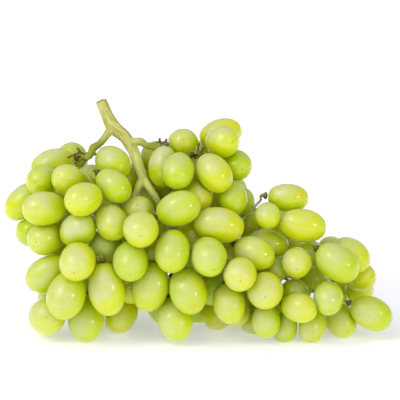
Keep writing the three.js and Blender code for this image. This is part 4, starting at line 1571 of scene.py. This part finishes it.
@dataclass(frozen=True)
class Studio:
    """The plain white table, the soft lights and the camera, in metres."""

    lamps: tuple[Lamp, ...] = (
        Lamp("key", (-1.0, -0.75, 1.4), 12.2, 2.0),
        Lamp("core", (-0.95, -0.7, 1.3), 4.2, 0.55),
        Lamp("fill", (0.6, -1.8, 0.5), 4.0, 1.8),
        Lamp("glint", (1.0, -0.95, 0.56), 2.4, 0.28),
    )
    surroundings: float = 0.47  # the strength of the even light from all round
    distance: float = 2.4  # from the camera to the bunch
    picture_width: float = 0.22  # what the camera sees at the bunch
    picture_middle: tuple[float, float, float] = (0.0, 78.65, 0.0)  # u, v, w in millimetres
    table_reach: float = 6.0
    table_colour: str = "#F4F4F3"
    table_light: str = "#E4E2FF"  # the cool light that the table gives off
    table_glow: tuple[float, float] = (0.42, 0.95)  # its strength near the bunch and far off
    glow_reach: tuple[float, float] = (0.1, 0.7)  # how near, and how far off

    def build(self) -> None:
        """Builds the table, the world, the lights and the camera."""
        bpy.context.scene.view_settings.view_transform = "Standard"
        self._table()
        self._world()
        for lamp in self.lamps:
            lamp.build()
        self._camera()

    def _table(self) -> None:
        """Makes the floor that the bunch lies on, which glows so that it stays white."""
        mesh = bpy.data.meshes.new("table")
        reach = self.table_reach
        mesh.from_pydata([(-reach, -reach, 0), (reach, -reach, 0), (reach, reach, 0),
                          (-reach, reach, 0)], [], [(0, 1, 2, 3)])
        material = empty_material("table_card")
        tree = material.node_tree
        place = add_node(tree, "ShaderNodeTexCoord").outputs["Object"]
        away = add_node(tree, "ShaderNodeVectorMath", {0: place}, operation="LENGTH")
        near, far = self.glow_reach
        least, most = self.table_glow
        glow = add_node(tree, "ShaderNodeMapRange", {
            "Value": away.outputs["Value"], "From Min": near, "From Max": far,
            "To Min": least, "To Max": most}, interpolation_type="SMOOTHSTEP")
        shader = add_node(tree, "ShaderNodeBsdfPrincipled", {
            "Base Color": colour(self.table_colour), "Roughness": 0.9,
            "Emission Color": colour(self.table_light),
            "Emission Strength": glow.outputs["Result"]})
        add_node(tree, "ShaderNodeOutputMaterial", {"Surface": shader.outputs["BSDF"]})
        mesh.materials.append(material)
        table = bpy.data.objects.new("table", mesh)
        bpy.context.scene.collection.objects.link(table)

    def _world(self) -> None:
        """Makes the even white light from all round."""
        world = bpy.data.worlds.new("studio")
        world.use_nodes = True
        tree = world.node_tree
        tree.nodes.clear()
        light = add_node(tree, "ShaderNodeBackground", {
            "Color": colour("#FFFFFF"), "Strength": self.surroundings})
        add_node(tree, "ShaderNodeOutputWorld", {"Surface": light.outputs["Background"]})
        bpy.context.scene.world = world

    def _camera(self) -> None:
        """Sets the camera where the photographer stood."""
        lens = bpy.data.cameras.new("camera")
        lens.sensor_width = 36.0
        lens.lens = lens.sensor_width * self.distance / self.picture_width
        lens.clip_start, lens.clip_end = 0.1, 50.0
        away = Vector((0.0, COS, -SIN))
        middle = Vector(in_metres(sight_point(*self.picture_middle)))
        camera = bpy.data.objects.new("camera", lens)
        camera.location = middle - away * self.distance
        camera.rotation_euler = away.to_track_quat("-Z", "Y").to_euler()
        bpy.context.scene.collection.objects.link(camera)
        bpy.context.scene.camera = camera


def main() -> None:
    """Builds the bunch piece by piece, then the studio round it."""
    logging.basicConfig(level=logging.INFO, format="%(name)s %(message)s")
    layout = BunchLayout()
    layout.place()
    LOG.info("layout: %d berries", len(layout.heap.berries))
    BerrySkins(layout, GrapeSkin().material()).build()
    Stem(layout, StemBark().material()).build()
    Studio().build()


if __name__ == "__main__":
    main()
